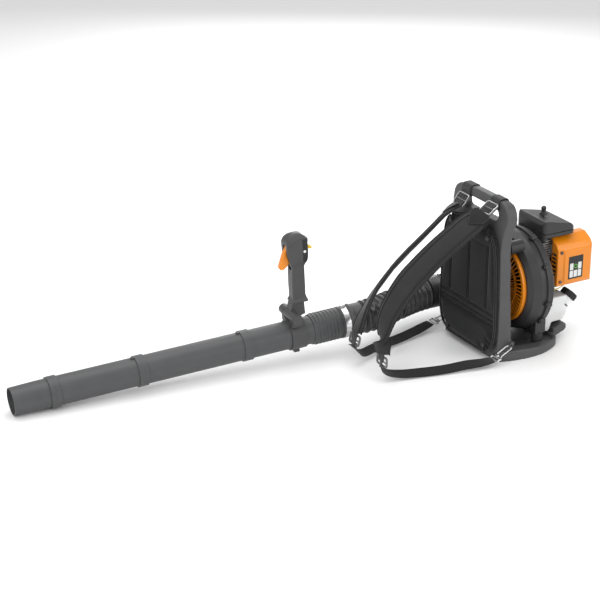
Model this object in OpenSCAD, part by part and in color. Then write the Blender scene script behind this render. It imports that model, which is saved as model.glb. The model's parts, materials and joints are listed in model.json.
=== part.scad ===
// Petrol backpack leaf blower: back frame with harness, fan and engine on rubber mounts,
// flexible hose, blow tube in four sections and a control handle.
// Millimetres, +Z up. Origin on the standing face, on the mid-plane, at the frame's front.
// The wearer faces -Y, the engine is on the +Y side, the hose runs along the wearer's right (-X).

/* [Frame] */
// Height of the back frame
frame_height = 460; // [400:5:520]
// Half width across the frame's rails
frame_half_width = 128; // [118:1:140]
// Width of each rail
rail_width = 27; // [20:1:34]
// Height of the base platform at the rails
base_height = 30; // [26:1:36]
// How far the base platform reaches back
base_depth = 222; // [212:1:235]
// Thickness of the plate behind the pad
plate_thickness = 10; // [6:1:14]

/* [Harness] */
// Thickness of the back pad
pad_thickness = 21; // [14:1:26]
// Height of the back pad
pad_height = 370; // [330:5:380]
// Width of each padded strap
strap_width = 68; // [55:1:72]
// Thickness of each padded strap
strap_thickness = 13; // [8:1:18]
// Width of the webbing
webbing_width = 26; // [20:1:32]

/* [Fan] */
// Height of the fan axis over the floor
axis_height = 181; // [176:1:190]
// Outer radius of the fan housing's drum
drum_radius = 146; // [140:1:150]
// Radius of the intake guard
guard_radius = 113; // [100:1:118]
// Radial gap between the impeller's rim and the drum, outside to outside.
impeller_gap = 22; // [18:1:36]
// Number of fan blades
blade_count = 13; // [9:1:17]
// Number of bars in the intake guard
guard_bars = 54; // [36:1:60]
// Thickness of the moulded housing walls
wall = 3; // [2.4:0.2:3.4]

/* [Engine] */
// Diameter of the piston
bore_diameter = 45; // [40:1:48]
// Stroke of the piston
stroke = 33; // [28:1:35]
// Radius of the crankshaft's main journals
shaft_radius = 8; // [7:0.5:9]
// Width of the fuel tank
tank_width = 142; // [120:1:150]
// Running clearance of shafts and pistons, on the radius
running_gap = 0.05; // [0.02:0.01:0.1]

/* [Blow tube] */
// Outer radius of the blow tube
tube_radius = 39.5; // [36:0.5:40.5]
// Wall of the blow tube
tube_wall = 2.3; // [1.8:0.1:3]
// Turn of the tube away from straight ahead, in degrees
tube_yaw = 5; // [3:0.5:7]
// Fall of the tube towards the nozzle, in degrees
tube_pitch = 3.2; // [2:0.1:3.2]
// Where the upper section ends
upper_length = 313; // [300:1:330]
// Length of the middle section
middle_length = 304; // [280:1:320]
// Length of the lower section
lower_length = 243; // [220:1:260]
// Length of the nozzle
nozzle_length = 113; // [80:1:160]
// Outer radius of the nozzle behind its taper
nozzle_radius = 39.2; // [36:0.1:40]
// Outer radius of the nozzle's mouth
mouth_radius = 37.4; // [32:0.2:38]

/* [Handle] */
// Height of the handle over the tube's axis
handle_height = 298; // [290:1:330]
// Front to back size of the grip
grip_depth = 37; // [32:1:42]
// Width of the grip
grip_width = 31; // [26:1:36]
// Where the handle clamp sits along the tube
clamp_place = 163; // [160:1:175]

/* [Hidden] */
$fn = 64;

plastic = [0.20, 0.205, 0.21];
frame_grey = [0.30, 0.305, 0.31];
orange = [0.93, 0.50, 0.03];
soft_black = [0.09, 0.09, 0.095];
steel = [0.70, 0.71, 0.72];
alloy = [0.62, 0.63, 0.64];
rubber = [0.06, 0.06, 0.06];

// Side-on stations of the frame: height, front face, back face.
frame_front = -9;
fit_gap = 0.3;

// ---------- outlines and swept solids ----------
function unit(v) = v / norm(v);
function arc(centre, radius, from, to, steps) =
    [for (i = [0:steps]) centre + radius * [cos(from + (to - from) * i / steps),
        sin(from + (to - from) * i / steps)]];
function round_box(low, high, r, steps = 6) = concat(
    arc([high[0] - r, high[1] - r], r, 0, 90, steps), arc([low[0] + r, high[1] - r], r, 90, 180, steps),
    arc([low[0] + r, low[1] + r], r, 180, 270, steps), arc([high[0] - r, low[1] + r], r, 270, 360, steps));
// A point on the smooth curve through four neighbouring points.
function blend_point(a, b, c, d, t) = 0.5 * (2 * b + (c - a) * t + (2 * a - 5 * b + 4 * c - d) * t * t
    + (3 * b - a - 3 * c + d) * t * t * t);
function smooth(points, steps) = let (last = len(points) - 1) concat(
    [for (i = [0:last - 1], k = [0:steps - 1])
        blend_point(points[max(i - 1, 0)], points[i], points[i + 1], points[min(i + 2, last)], k / steps)],
    [points[last]]);
function mirrored(points) = concat(points, [for (i = [len(points) - 1:-1:0]) [-points[i][0], points[i][1]]]);
// Side direction of a ring across a path that isn't vertical.
function side_of(d) = unit(cross([0, 0, 1], d));
function ring(centre, d, radius, sides) = let (e = side_of(d), f = cross(d, e))
    [for (j = [0:sides - 1]) centre + radius * (cos(360 * j / sides) * e + sin(360 * j / sides) * f)];
function skin_faces(rings, sides, closed) = [for (i = [0:rings - (closed ? 1 : 2)], j = [0:sides - 1], k = [0,
    1])
    let (n = (i + 1) % rings, m = (j + 1) % sides)
    k == 0 ? [i * sides + j, n * sides + j, n * sides + m] : [i * sides + j, n * sides + m, i * sides + m]];
// A closed solid through a list of rings; a loop of rings makes a hollow tube.
module skin(rings, closed = false) {
    sides = len(rings[0]);
    count = len(rings);
    caps = closed ? [] : [[for (j = [0:sides - 1]) j], [for (j = [sides - 1:-1:0]) (count - 1) * sides + j]];
    polyhedron([for (r = rings, p = r) p], concat(skin_faces(count, sides, closed), caps), convexity = 8);
}
function directions(path) = [for (i = [0:len(path) - 1])
    unit(path[min(i + 1, len(path) - 1)] - path[max(i - 1, 0)])];
// Carries a side direction along a path without twist.
function carried(d, last, i = 0) = i == len(d) ? [] :
    let (s = unit(last - (last * d[i]) * d[i])) concat([s], carried(d, s, i + 1));
module cord(path, radius, start = [1, 0, 0]) {
    d = directions(path);
    e = carried(d, start);
    skin([for (i = [0:len(path) - 1]) let (f = cross(d[i], e[i]))
        [for (a = [0:45:315]) path[i] + radius * (cos(a) * e[i] + sin(a) * f)]]);
}
// A flat band: its width leans by roll degrees, at each point of the path.
module band(path, widths, rolls, thickness) {
    d = directions(path);
    skin([for (i = [0:len(path) - 1]) let (
        across = side_of(d[i]), up = cross(d[i], across),
        w = cos(rolls[i]) * across + sin(rolls[i]) * up, h = cross(d[i], w), a = widths[i] / 2,
        b = thickness / 2, c = b * 0.7)
        [for (q = [[a, -b + c], [a, b - c], [a - c, b], [c - a, b], [-a, b - c], [-a, c - b], [c - a, -b],
            [a - c, -b]]) path[i] + q[0] * w + q[1] * h]]);
}
module along_y(y) { translate([0, y, 0]) rotate([-90, 0, 0]) children(); }
module fan_axis(y) { translate([0, y, axis_height]) rotate([-90, 0, 0]) children(); }
module pipe(r, inner, length) {
    difference() {
        cylinder(r = r, h = length);
        translate([0, 0, -1]) cylinder(r = inner, h = length + 2);
    }
}

// ---------- frame ----------
shoulder_height = frame_height - 50;
rail_outline = smooth([[frame_half_width + 2, 0], [frame_half_width, 60], [frame_half_width - 1, 200],
    [frame_half_width - 4, frame_height - 130], [frame_half_width - 2, frame_height - 80],
    [frame_half_width + 3, shoulder_height], [frame_half_width - 3, frame_height - 24],
    [frame_half_width - 18, frame_height - 8], [frame_half_width - 48, frame_height - 1.5],
    [0, frame_height]], 5);
hand_hole = [[-84, frame_height - 62], [84, frame_height - 27]];
plate_front = 2;
plate_back = plate_front + plate_thickness;

side_front = [[frame_front, 0], [frame_front, frame_height - 145], [frame_front + 4, frame_height - 100],
    [5, shoulder_height], [6, frame_height - 20], [10, frame_height]];
side_back = [[32, frame_height], [38, frame_height - 12], [38, shoulder_height], [31, frame_height - 80],
    [25, frame_height - 125], [29, 210], [37, 60], [42, 0]];
base_outline = smooth([[frame_half_width, frame_front], [frame_half_width + 12, 20],
    [frame_half_width + 21, 70], [frame_half_width + 20, 125], [frame_half_width + 8, 165],
    [frame_half_width - 14, base_depth - 18], [frame_half_width - 50, base_depth], [0, base_depth]], 5);
base_rear_height = base_height - 10;
pocket_floor = 12;
pocket_front = 48;
guard_bar_front = base_depth - 4;
guard_bar_back = base_depth + 42;
guard_bar_half = 84;
eye_place = [frame_half_width + 14, 26, 46];
eye_radius = 9;
eye_thickness = 5;
mount_x = 95;
mount_y = 150;
mount_radius = 16;
upper_mount = [60, 302];
lug_bottom = 46;
window_top = max(hand_hole[0][1] - 22, upper_mount[1] + mount_radius + 6);

module base() {
    difference() {
        linear_extrude(base_height) polygon(mirrored(base_outline));
        // The rim falls towards the rear.
        translate([-200, 60, base_height])
            rotate([-atan((base_height - base_rear_height) / (base_depth - 60)), 0, 0]) cube([400, 260, 40]);
        // The well that holds the rubber mounts.
        translate([0, 0, pocket_floor]) linear_extrude(base_height) polygon(
            round_box([14 - frame_half_width, pocket_front], [frame_half_width - 14, base_depth - 14], 30));
    }
    for (x = [-mount_x, mount_x]) translate([x, mount_y, 1]) cylinder(r = mount_radius + 5,
        h = pocket_floor + 3);
    // Guard bar that the fuel tank rests over.
    translate([-guard_bar_half, 0, 0]) rotate([90, 0, 90]) linear_extrude(2 * guard_bar_half)
        polygon(concat([[guard_bar_front, 8]], arc([guard_bar_back - 13, 34], 13, -60, 130, 10),
            [[guard_bar_front, 34]]));
}
module frame() color(frame_grey) {
    intersection() {
        along_y(-20) linear_extrude(80) difference() {
            mirror([0, 1]) polygon(mirrored(rail_outline));
            mirror([0, 1]) polygon(round_box(hand_hole[0], hand_hole[1], 16));
        }
        translate([-200, 0, 0]) rotate([90, 0, 90]) linear_extrude(400) difference() {
            polygon(concat(side_front, side_back));
        }
        difference() {
            translate([-200, -40, 0]) cube([400, 120, frame_height + 5]);
            // Recesses in front of and behind the plate, between the rails.
            translate([0, frame_front, 0]) rail_recess(frame_front - 20, plate_front);
            rail_recess(plate_back, 80);
        }
    }
    base();
    for (s = [-1, 1]) {
        // Bosses for the upper rubber mounts.
        translate([s * upper_mount[0], plate_back - 1, upper_mount[1]]) rotate([-90, 0, 0])
            cylinder(r = mount_radius + 2, h = 9);
        // Eyes that the harness hooks clip into.
        translate([s * eye_place[0], eye_place[1], eye_place[2]]) difference() {
            union() {
                rotate([0, 90, 0]) cylinder(r = eye_radius, h = eye_thickness, center = true);
                translate([s > 0 ? -16 : -eye_thickness / 2, 3, 3]) cube([16 + eye_thickness / 2, 9, 9]);
            }
            rotate([0, 90, 0]) cylinder(r = 5, h = eye_thickness + 2, center = true);
        }
    }
}
module rail_recess(from, to) {
    inner = frame_half_width - rail_width;
    translate([0, to, 0]) rotate([90, 0, 0]) linear_extrude(to - from)
        polygon(round_box([-inner, base_height - 6], [inner, window_top], 22));
}

// ---------- harness ----------
pad_bottom = 17;
pad_half_width = frame_half_width + 6;
pad_back = frame_front - fit_gap;
pad_outline = smooth([[0, pad_bottom], [pad_half_width - 52, pad_bottom + 2], [pad_half_width - 16,
    pad_bottom + 22],
    [pad_half_width - 1, pad_bottom + 66], [pad_half_width, pad_bottom + 130],
    [pad_half_width - 9, pad_bottom + pad_height - 90], [pad_half_width - 22, pad_bottom + pad_height - 34],
    [pad_half_width - 58, pad_bottom + pad_height - 3], [0, pad_bottom + pad_height]], 5);
module back_pad() color(soft_black) difference() {
    translate([0, pad_back, 0]) rotate([90, 0, 0]) linear_extrude(pad_thickness)
        polygon(mirrored(pad_outline));
    for (p = rivet_places) translate([p[0], pad_back + 1, p[1]]) rotate([90, 0, 0])
        cylinder(r = 3 + fit_gap, h = pad_thickness + 2);
}
rivet_places = [for (x = [-1, 1], z = [pad_bottom + 24, pad_bottom + pad_height - 30])
    [x * (pad_half_width - 46), z]];
module pad_rivets() color(soft_black) for (p = rivet_places)
    translate([p[0], pad_back - pad_thickness - fit_gap, p[1]]) {
        rotate([90, 0, 0]) cylinder(r1 = 8, r2 = 5, h = 3);
        rotate([-90, 0, 0]) cylinder(r = 3, h = pad_thickness + fit_gap);
    }

left_strap_path = [[70, -30, 423], [74, -80, 404], [76, -130, 377], [76, -180, 346], [76, -230, 310], [76,
    -275, 273],
    [75, -315, 225], [74, -340, 180], [73, -350, 130], [71, -348, 80]];
right_strap_path = [[-66, -24, 404], [-67, -71, 381], [-66, -129, 338], [-64, -185, 300], [-61, -240, 258],
    [-57, -288, 212], [-53, -322, 168], [-50, -344, 130], [-48, -358, 100]];
strap_rolls = [-20, -34, -40, -42, -42, -40, -32, -20, -10, 0];
strap_shares = [0.8, 1, 1, 1, 1, 1, 0.96, 0.9, 0.74, 0.62];
module strap(path, lean) band(path, [for (i = [0:len(path) - 1]) strap_width * strap_shares[i]],
    [for (i = [0:len(path) - 1]) lean * strap_rolls[i]], strap_thickness);
module strap_left() color(soft_black) strap(left_strap_path, 1);
module strap_right() color(soft_black) strap(right_strap_path, -1);

// Webbing that loops over the top bar and holds the upper buckles.
loop_width = 40;
module bar_loop(x) translate([x - loop_width / 2, 0, 0]) rotate([90, 0, 90]) linear_extrude(loop_width)
    difference() {
        polygon(round_box([2, frame_height - 30], [42, frame_height + 2.4], 9));
        polygon(round_box([5.4, frame_height - 26.6], [38.6, frame_height - 0.1], 6));
    }
module bar_loops() color(soft_black) {
    for (x = [-67, 67]) difference() {
        bar_loop(x);
        frame_bar_space();
    }
}
// The space the top bar takes, with the fit gap around it.
module frame_bar_space() translate([-200, 0, 0]) rotate([90, 0, 90]) linear_extrude(400)
    polygon([[4.6, frame_height - 40], [4.6, frame_height - 20], [9, frame_height + 0.3], [33,
        frame_height + 0.3],
        [38.4, frame_height - 11], [38.4, frame_height - 40]]);

// Each buckle's centre and the slope of the webbing through it.
buckle_places = [[[67, -14, 436], 36], [[-65, -13, 420], 52], [[71, -349, 60], 88], [[-48, -363, 80], 76]];
module buckle() difference() {
    translate([-26, -15, -3]) linear_extrude(6) polygon(round_box([0, 0], [52, 30], 5));
    for (y = [-10.5, 2]) translate([-20, y, -5]) cube([40, 8.5, 10]);
}
module buckles() color(plastic) for (b = buckle_places) translate(b[0]) rotate([b[1], 0, 0]) buckle();

left_web_path = [[71, -352, 40], [78, -335, 24], [92, -298, 17], [108, -240, 15], [122, -180, 15],
    [134, -120, 19], [141, -70, 18], [144, -34, 20]];
right_web_path = [[-49, -368, 61], [-53, -352, 40], [-62, -325, 25], [-84, -262, 24], [-104, -190, 19],
    [-122, -120, 21], [-135, -78, 23], [-143, -51, 25]];
web_rolls = [0, 20, 40, 60, 60, 60, 35, 8];
web_steps = 4;
module lower_webbing() color(soft_black) for (path = [left_web_path, right_web_path]) {
    rolls = smooth(web_rolls, web_steps);
    band(smooth(path, web_steps), [for (r = rolls) webbing_width], rolls, 2);
}
// Sprung snap hooks between the webbing and the frame's eyes.
hook_wire = 2.2;
function hook_end(s) = [s * (eye_place[0] - 0.5), eye_place[1] - 8.8, eye_place[2] - 4];
left_hook = [[144, -30, 20], hook_end(1)];
right_hook = [[-144, -44, 25], hook_end(-1)];
hook_loop_radius = 10;
module hook_frame(hook) {
    d = unit(hook[1] - hook[0]);
    lean = atan2(d[2], d[1]);
    translate(hook[0]) rotate([0, 0, -atan2(d[0], d[1])]) rotate([lean, 0, 0]) children();
}
function hook_length(hook) = norm(hook[1] - hook[0]);
module snap_hook(hook) hook_frame(hook) {
    n = hook_length(hook);
    // Webbing bar and swivel stem.
    translate([-16, 0, 0]) rotate([0, 90, 0]) cylinder(r = hook_wire, h = 32);
    for (x = [-16, 16]) translate([x, 0, 0]) rotate([-90, 0, 0]) cylinder(r = hook_wire, h = 10);
    translate([-18.2, 8, -2.4]) cube([36.4, 4, 4.8]);
    translate([0, 10, 0]) rotate([-90, 0, 0]) cylinder(r = 4, h = 8);
    // Spine, bow and lip of the hook, open on the gate's side.
    translate([-hook_loop_radius, 17, 0]) rotate([-90, 0, 0]) cylinder(r = hook_wire, h = n - 17);
    translate([-hook_loop_radius - 2.2, 15, -2.2]) cube([hook_loop_radius * 2 + 4.4, 4.4, 4.4]);
    translate([0, n, 0]) rotate_extrude(angle = 180, $fn = 48) translate([hook_loop_radius, 0])
        circle(r = hook_wire);
}
module snap_hooks() color(steel) {
    snap_hook(left_hook);
    snap_hook(right_hook);
}
gate_gap = 0.8;
module gate(hook) hook_frame(hook) {
    n = hook_length(hook);
    translate([hook_loop_radius, 19.4 + gate_gap, 0]) rotate([-90, 0, 0])
        cylinder(r = 1.6, h = n - 19.4 - 2 * gate_gap);
}
module gate_left() color(steel) gate(left_hook);
module gate_right() color(steel) gate(right_hook);

// ---------- rubber mounts and fan housing ----------
drum_front = 92;
split_y = 144;
drum_back = 168;
flange_radius = drum_radius + 5;
impeller_radius = drum_radius - impeller_gap;
outlet_radius = 42;
outlet = [-151, 124, 93];
module rubber_mounts() color(rubber) for (s = [-1, 1]) {
    translate([s * mount_x, mount_y, pocket_floor + 4]) cylinder(r = mount_radius,
        h = lug_bottom - pocket_floor - 4);
    translate([s * upper_mount[0], plate_back + 8, upper_mount[1]]) rotate([-90, 0, 0])
        cylinder(r = mount_radius, h = 62 - plate_back - 8);
}
function drum_profile(grow) = [[0, drum_front - 2 + wall * (1 - grow)], [guard_radius + 9 + 2 * grow,
    drum_front - 2 + wall * (1 - grow)],
    [drum_radius - wall * (1 - grow) - 8, drum_front + 14 - 6 * grow], [drum_radius - wall * (1 - grow),
        drum_front + 32],
    [drum_radius - wall * (1 - grow), drum_back - 6], [drum_radius - wall * (1 - grow) - 6,
        drum_back - wall * (1 - grow)],
    [0, drum_back - wall * (1 - grow)]];
module drum(grow) translate([0, 0, axis_height]) rotate([-90, 0, 0]) rotate_extrude($fn = 96)
    polygon([for (p = drum_profile(grow)) p]);
module outlet_pipe(r) translate([outlet[0], outlet[1], outlet[2]]) rotate([0, 90, 0]) cylinder(r = r, h = 80);
module housing_solid() {
    drum(1);
    intersection() {
        outlet_pipe(outlet_radius);
        translate([-200, drum_front - 12, 0]) cube([200, drum_back - drum_front + 12, 300]);
    }
    // Clamping flange between the two shells, with its screw lugs.
    fan_axis(split_y - 3.5) cylinder(r = flange_radius, h = 7, $fn = 96);
    for (a = screw_angles) fan_axis(split_y - 8) rotate([0, 0, a]) translate([flange_radius, 0, 0])
        cylinder(r = 7.5, h = 16);
    // Lugs over the rubber mounts.
    for (s = [-1, 1]) {
        translate([s * mount_x - 14, mount_y - 16, lug_bottom]) cube([28, 34, 40]);
        translate([s * upper_mount[0], 62, upper_mount[1]]) rotate([-90, 0, 0]) cylinder(r = mount_radius + 3,
            h = 44);
    }
}
// Around the flange, clear of the lugs and of the outlet.
screw_angles = [12, 36, 66, 114, 183, 222, 258, 294, 330];
module housing_space() {
    drum(0);
    outlet_pipe(outlet_radius - wall);
    fan_axis(drum_front - 20) cylinder(r = guard_radius + 3.3, h = 30);
    for (a = screw_angles) fan_axis(split_y - 12) rotate([0, 0, a]) translate([flange_radius, 0, 0])
        cylinder(r = 2.6, h = 24);
    // Hole for the engine's nose in the rear wall.
    fan_axis(drum_back - 8) cylinder(r = nose_radius + 0.2, h = 20);
}
nose_radius = 34;
module housing() difference() {
    housing_solid();
    housing_space();
}
module housing_front() color(plastic) intersection() {
    housing();
    translate([-200, 0, 0]) cube([400, split_y, 400]);
}
module housing_rear() color(plastic) intersection() {
    housing();
    translate([-200, split_y, 0]) cube([400, 100, 400]);
}
// Orange grille over the fan intake: rings, a centre disc and radial bars.
guard_y = 80;
module intake_guard() color(orange) fan_axis(guard_y) {
    pipe(guard_radius + 3, guard_radius - 6, 12);
    translate([0, 0, 0]) pipe(78, 74, 6);
    cylinder(r = 40, h = 5);
    for (i = [0:guard_bars - 1]) rotate([0, 0, 360 * i / guard_bars]) translate([38, -1.3, 0])
        cube([guard_radius - 38 - 5, 2.6, 5]);
}
module screws() color(steel) {
    for (a = screw_angles) fan_axis(split_y - 11.2) rotate([0, 0, a]) translate([flange_radius, 0, 0]) {
        cylinder(r = 4.6, h = 3);
        cylinder(r = 2.5, h = 20);
    }
    for (p = cover_screws) translate([p[0], p[1], p[2]]) rotate([0, 90, 0]) {
        cylinder(r = 4.4, h = 2.6);
        translate([0, 0, -6]) cylinder(r = 2.2, h = 7);
    }
}
// ---------- engine ----------
impeller_back = 158;
blade_front = 104;
hub_radius = 26;
module blade() linear_extrude(impeller_back - 4 - blade_front) polygon(concat(
    [for (i = [0:8]) let (r = hub_radius - 2 + (impeller_radius - hub_radius) * i / 8, a = -34 * i / 8)
        r * [cos(a), sin(a)]],
    [for (i = [8:-1:0]) let (r = hub_radius - 2 + (impeller_radius - hub_radius) * i / 8,
        a = -34 * i / 8 + 115 / (r + 12))
        r * [cos(a), sin(a)]]));
module impeller() color(plastic) difference() {
    union() {
        fan_axis(impeller_back - 4) cylinder(r = impeller_radius, h = 4);
        fan_axis(blade_front) cylinder(r = hub_radius, h = impeller_back - blade_front);
        for (i = [0:blade_count - 1]) fan_axis(blade_front) rotate([0, 0, 360 * i / blade_count]) blade();
    }
    fan_axis(blade_front - 1) cylinder(r = shaft_radius - 1, h = 80);
}
web_radius = 29;
crank_pin = stroke / 2;
crank_y = 224;
web_gap = 9;
module crankshaft() color(steel) {
    fan_axis(blade_front - 10) cylinder(r = shaft_radius - 1, h = 80);
    fan_axis(blade_front - 12) cylinder(r = 12, h = 11);
    fan_axis(171) cylinder(r = shaft_radius, h = crank_y - web_gap - 171);
    fan_axis(crank_y + web_gap) cylinder(r = shaft_radius, h = case_back + 30 - crank_y - web_gap);
    for (y = [crank_y - web_gap - 8, crank_y + web_gap]) fan_axis(y) cylinder(r = web_radius, h = 8);
    translate([0, crank_y - web_gap - 1, axis_height - crank_pin]) rotate([-90, 0, 0]) cylinder(r = 6.5,
        h = 2 * web_gap + 2);
}
module flywheel() color(alloy) difference() {
    union() {
        fan_axis(160) cylinder(r = 30, h = 6);
        fan_axis(172) cylinder(r = 44, h = 13);
        fan_axis(164) cylinder(r = 18, h = 10);
    }
    fan_axis(150) cylinder(r = shaft_radius - 0.9, h = 24.5);
    fan_axis(171) cylinder(r = shaft_radius + 0.1, h = 30);
    for (a = [0:45:315]) fan_axis(170) rotate([0, 0, a]) translate([30, 0, 0]) cylinder(r = 5, h = 20);
}
case_radius = 45;
case_front = 190;
case_back = 262;
module crankcase() color(alloy) difference() {
    union() {
        fan_axis(case_front) cylinder(r = case_radius, h = case_back - case_front);
        for (a = [45:90:315]) fan_axis(drum_back) rotate([0, 0, a]) translate([56, 0, 0]) cylinder(r = 8,
            h = case_front + 8 - drum_back);
        for (a = [45:90:315]) fan_axis(case_front) rotate([0, 0, a]) translate([30, -8, 0]) cube([26, 16, 8]);
        translate([-30, crank_y - 30, axis_height + 20]) cube([60, 60, cylinder_foot - axis_height - 20]);
    }
    fan_axis(crank_y - 22) cylinder(r = case_radius - 8, h = 44);
    fan_axis(case_front - 5) cylinder(r = shaft_radius + running_gap, h = 90);
    translate([0, crank_y, axis_height]) cylinder(r = bore_diameter / 2 + 2, h = 80);
}
cylinder_foot = axis_height + 50;
fin_count = 8;
fin_pitch = 7;
cylinder_top = cylinder_foot + fin_count * fin_pitch + 7;
piston_low = axis_height + 36;
piston_height = 30;
deck = piston_low + piston_height + stroke + 1.5;
module cylinder_block() color(alloy) difference() {
    union() {
        translate([0, crank_y, cylinder_foot]) cylinder(r = bore_diameter / 2 + 6,
            h = cylinder_top - cylinder_foot);
        translate([-30, crank_y - 30, cylinder_foot]) cube([60, 60, 5]);
        for (i = [0:fin_count - 1]) translate([-40, crank_y - 38, cylinder_foot + 7 + fin_pitch * i])
            linear_extrude(2.4) polygon(round_box([0, 0], [80, 76], 12));
        // Exhaust flange on the cover's side, inlet flange at the back.
        translate([26, crank_y, cylinder_foot + 20]) cube([20, 30, 24]);
        translate([-17, crank_y + 24, inlet_z - 13]) cube([34, inlet_y - crank_y - 24, 26]);
    }
    translate([0, crank_y, cylinder_foot - 1]) cylinder(r = bore_diameter / 2, h = deck - cylinder_foot + 1);
    translate([0, crank_y + 10, cylinder_foot + 32]) rotate([0, 90, 0]) cylinder(r = 9, h = 60);
    translate([0, crank_y, inlet_z]) rotate([-90, 0, 0]) cylinder(r = 8, h = 60);
    plug_frame() {
        translate([0, 0, -16]) cylinder(r = 5.2, h = 40);
        translate([0, 0, 5.8]) cylinder(r = 12, h = 50);
        translate([0, 0, 22.5]) cylinder(r = 15.5, h = 50);
    }
}
inlet_y = 265;
inlet_z = 257;
// The spark plug leans towards the gap in front of the engine cover.
module plug_frame() translate([12, crank_y - 12, deck + 6.5]) rotate([0, 78.4, -42.5]) children();
module piston() color(alloy) difference() {
    translate([0, crank_y, piston_low]) cylinder(r = bore_diameter / 2 - running_gap, h = piston_height);
    translate([0, crank_y, piston_low - 1]) cylinder(r = bore_diameter / 2 - 4, h = piston_height - 5);
    translate([-30, crank_y, piston_low + 12]) rotate([0, 90, 0]) cylinder(r = 5, h = 60);
}
rod_bottom = axis_height + crank_pin + 9;
module connecting_rod() color(steel) {
    translate([0, crank_y, piston_low + 12]) rotate([90, 0, 0]) translate([0, 0, -5]) rotate([0, 0, 0])
        cylinder(r = 8, h = 10);
    translate([-bore_diameter / 2 + 2, crank_y, piston_low + 12]) rotate([0, 90, 0]) cylinder(r = 4.9,
        h = bore_diameter - 4);
    translate([-4.5, crank_y - 3.5, rod_bottom]) cube([9, 7, piston_low + 8 - rod_bottom]);
    translate([-9, crank_y - 6, rod_bottom]) cube([18, 12, 4]);
}
module spark_plug() color(steel) plug_frame() {
    translate([0, 0, -14]) cylinder(r = 5, h = 20);
    translate([0, 0, 6]) cylinder(r = 9.5, h = 7, $fn = 6);
    translate([0, 0, 12]) cylinder(r = 5.5, h = 14);
}
module plug_cap() color(rubber) plug_frame() difference() {
    union() {
        translate([0, 0, 15]) cylinder(r = 9, h = 20);
        translate([0, 0, 29]) rotate([90, 0, 20]) cylinder(r = 5, h = 14);
    }
    translate([0, 0, 14]) cylinder(r = 5.8, h = 12.5);
}
coil_place = [-22, 174, axis_height + 48];
module ignition_coil() color(rubber) {
    translate(coil_place) cube([40, 12, 26]);
    translate([coil_place[0] + 6, drum_back, coil_place[2] + 6]) cube([28, 8, 12]);
}
muffler_low = [48, 232, 212];
muffler_size = [26, 82, 56];
module muffler() color(steel) difference() {
    union() {
        translate(muffler_low) rotate([90, 0, 90]) linear_extrude(muffler_size[0])
            polygon(round_box([0, 0], [muffler_size[1], muffler_size[2]], 12));
        translate([46.2, crank_y + 9, cylinder_foot + 21]) cube([4, 21, 16]);
        translate([muffler_low[0] + 13, muffler_low[1] + 60, muffler_low[2] + 12]) rotate([-90, 0, 0])
            cylinder(r = 7, h = 34);
    }
    translate(muffler_low + [2, 0, 0]) rotate([90, 0, 90]) linear_extrude(muffler_size[0] - 4)
        polygon(round_box([2, 2], [muffler_size[1] - 2, muffler_size[2] - 2], 10));
    translate([muffler_low[0] + 13, muffler_low[1] + 70, muffler_low[2] + 12]) rotate([-90, 0, 0])
        cylinder(r = 5.5, h = 40);
}
carb_low = [-19, inlet_y + 8, 241];
carb_size = [38, 34, 32];
primer_y = carb_low[1] + 17;
primer_z = carb_low[2] + 16;
module carburettor() color(alloy) difference() {
    union() {
        // Heat spacer against the inlet flange, then the carburettor's body.
        translate([-16, inlet_y + 0.2, inlet_z - 12]) cube([32, 9, 24]);
        translate(carb_low) cube(carb_size);
        translate([0, carb_low[1] + 2, carb_low[2] + carb_size[2] - 1])
            cylinder(r = 11.5, h = filter_floor - carb_low[2] - carb_size[2] + 1);
        translate([carb_low[0] - 11, primer_y, primer_z]) rotate([0, 90, 0]) cylinder(r = 13, h = 12);
    }
    translate([0, inlet_y, inlet_z]) rotate([-90, 0, 0]) cylinder(r = 8, h = 20);
    translate([0, carb_low[1] + 2, inlet_z]) cylinder(r = 8, h = 80);
    translate([carb_low[0] - 12, primer_y, primer_z]) rotate([0, 90, 0]) cylinder(r = 10.2, h = 9);
}
module primer_bulb() color(orange) translate([carb_low[0] - 7, primer_y, primer_z]) rotate([0, -90, 0])
    rotate_extrude() polygon(concat([[0, 0], [10, 0], [10, 3]], arc([0, 3], 9.5, 8, 90, 8)));
// Air filter box on top of the engine.
box_half_width = 65;
box_front = 178;
box_back = 291;
filter_floor = 308;
box_top_front = 357;
box_top_back = 338;
box_seam = 318;
module box_shape(gap) polygon(round_box([gap - box_half_width, box_front + gap], [box_half_width - gap,
    box_back - gap], 16 - gap / 2));
module filter_base() color(plastic) difference() {
    union() {
        translate([0, 0, filter_floor]) linear_extrude(box_seam - filter_floor) box_shape(0);
        translate([0, 224, filter_floor]) cylinder(r = 8, h = 22);
    }
    difference() {
        translate([0, 0, filter_floor + wall]) linear_extrude(40) box_shape(wall);
        translate([0, 224, filter_floor]) cylinder(r = 8, h = 22);
    }
    translate([0, carb_low[1] + 2, filter_floor - 1]) cylinder(r = 8, h = 20);
    translate([0, 224, filter_floor + 4]) cylinder(r = 3.2, h = 30);
}
module filter_element() color([0.15, 0.15, 0.15]) difference() {
    translate([0, 0, filter_floor + wall + fit_gap]) linear_extrude(14) box_shape(wall + 3);
    translate([0, 224, filter_floor]) cylinder(r = 11, h = 40);
}
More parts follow.
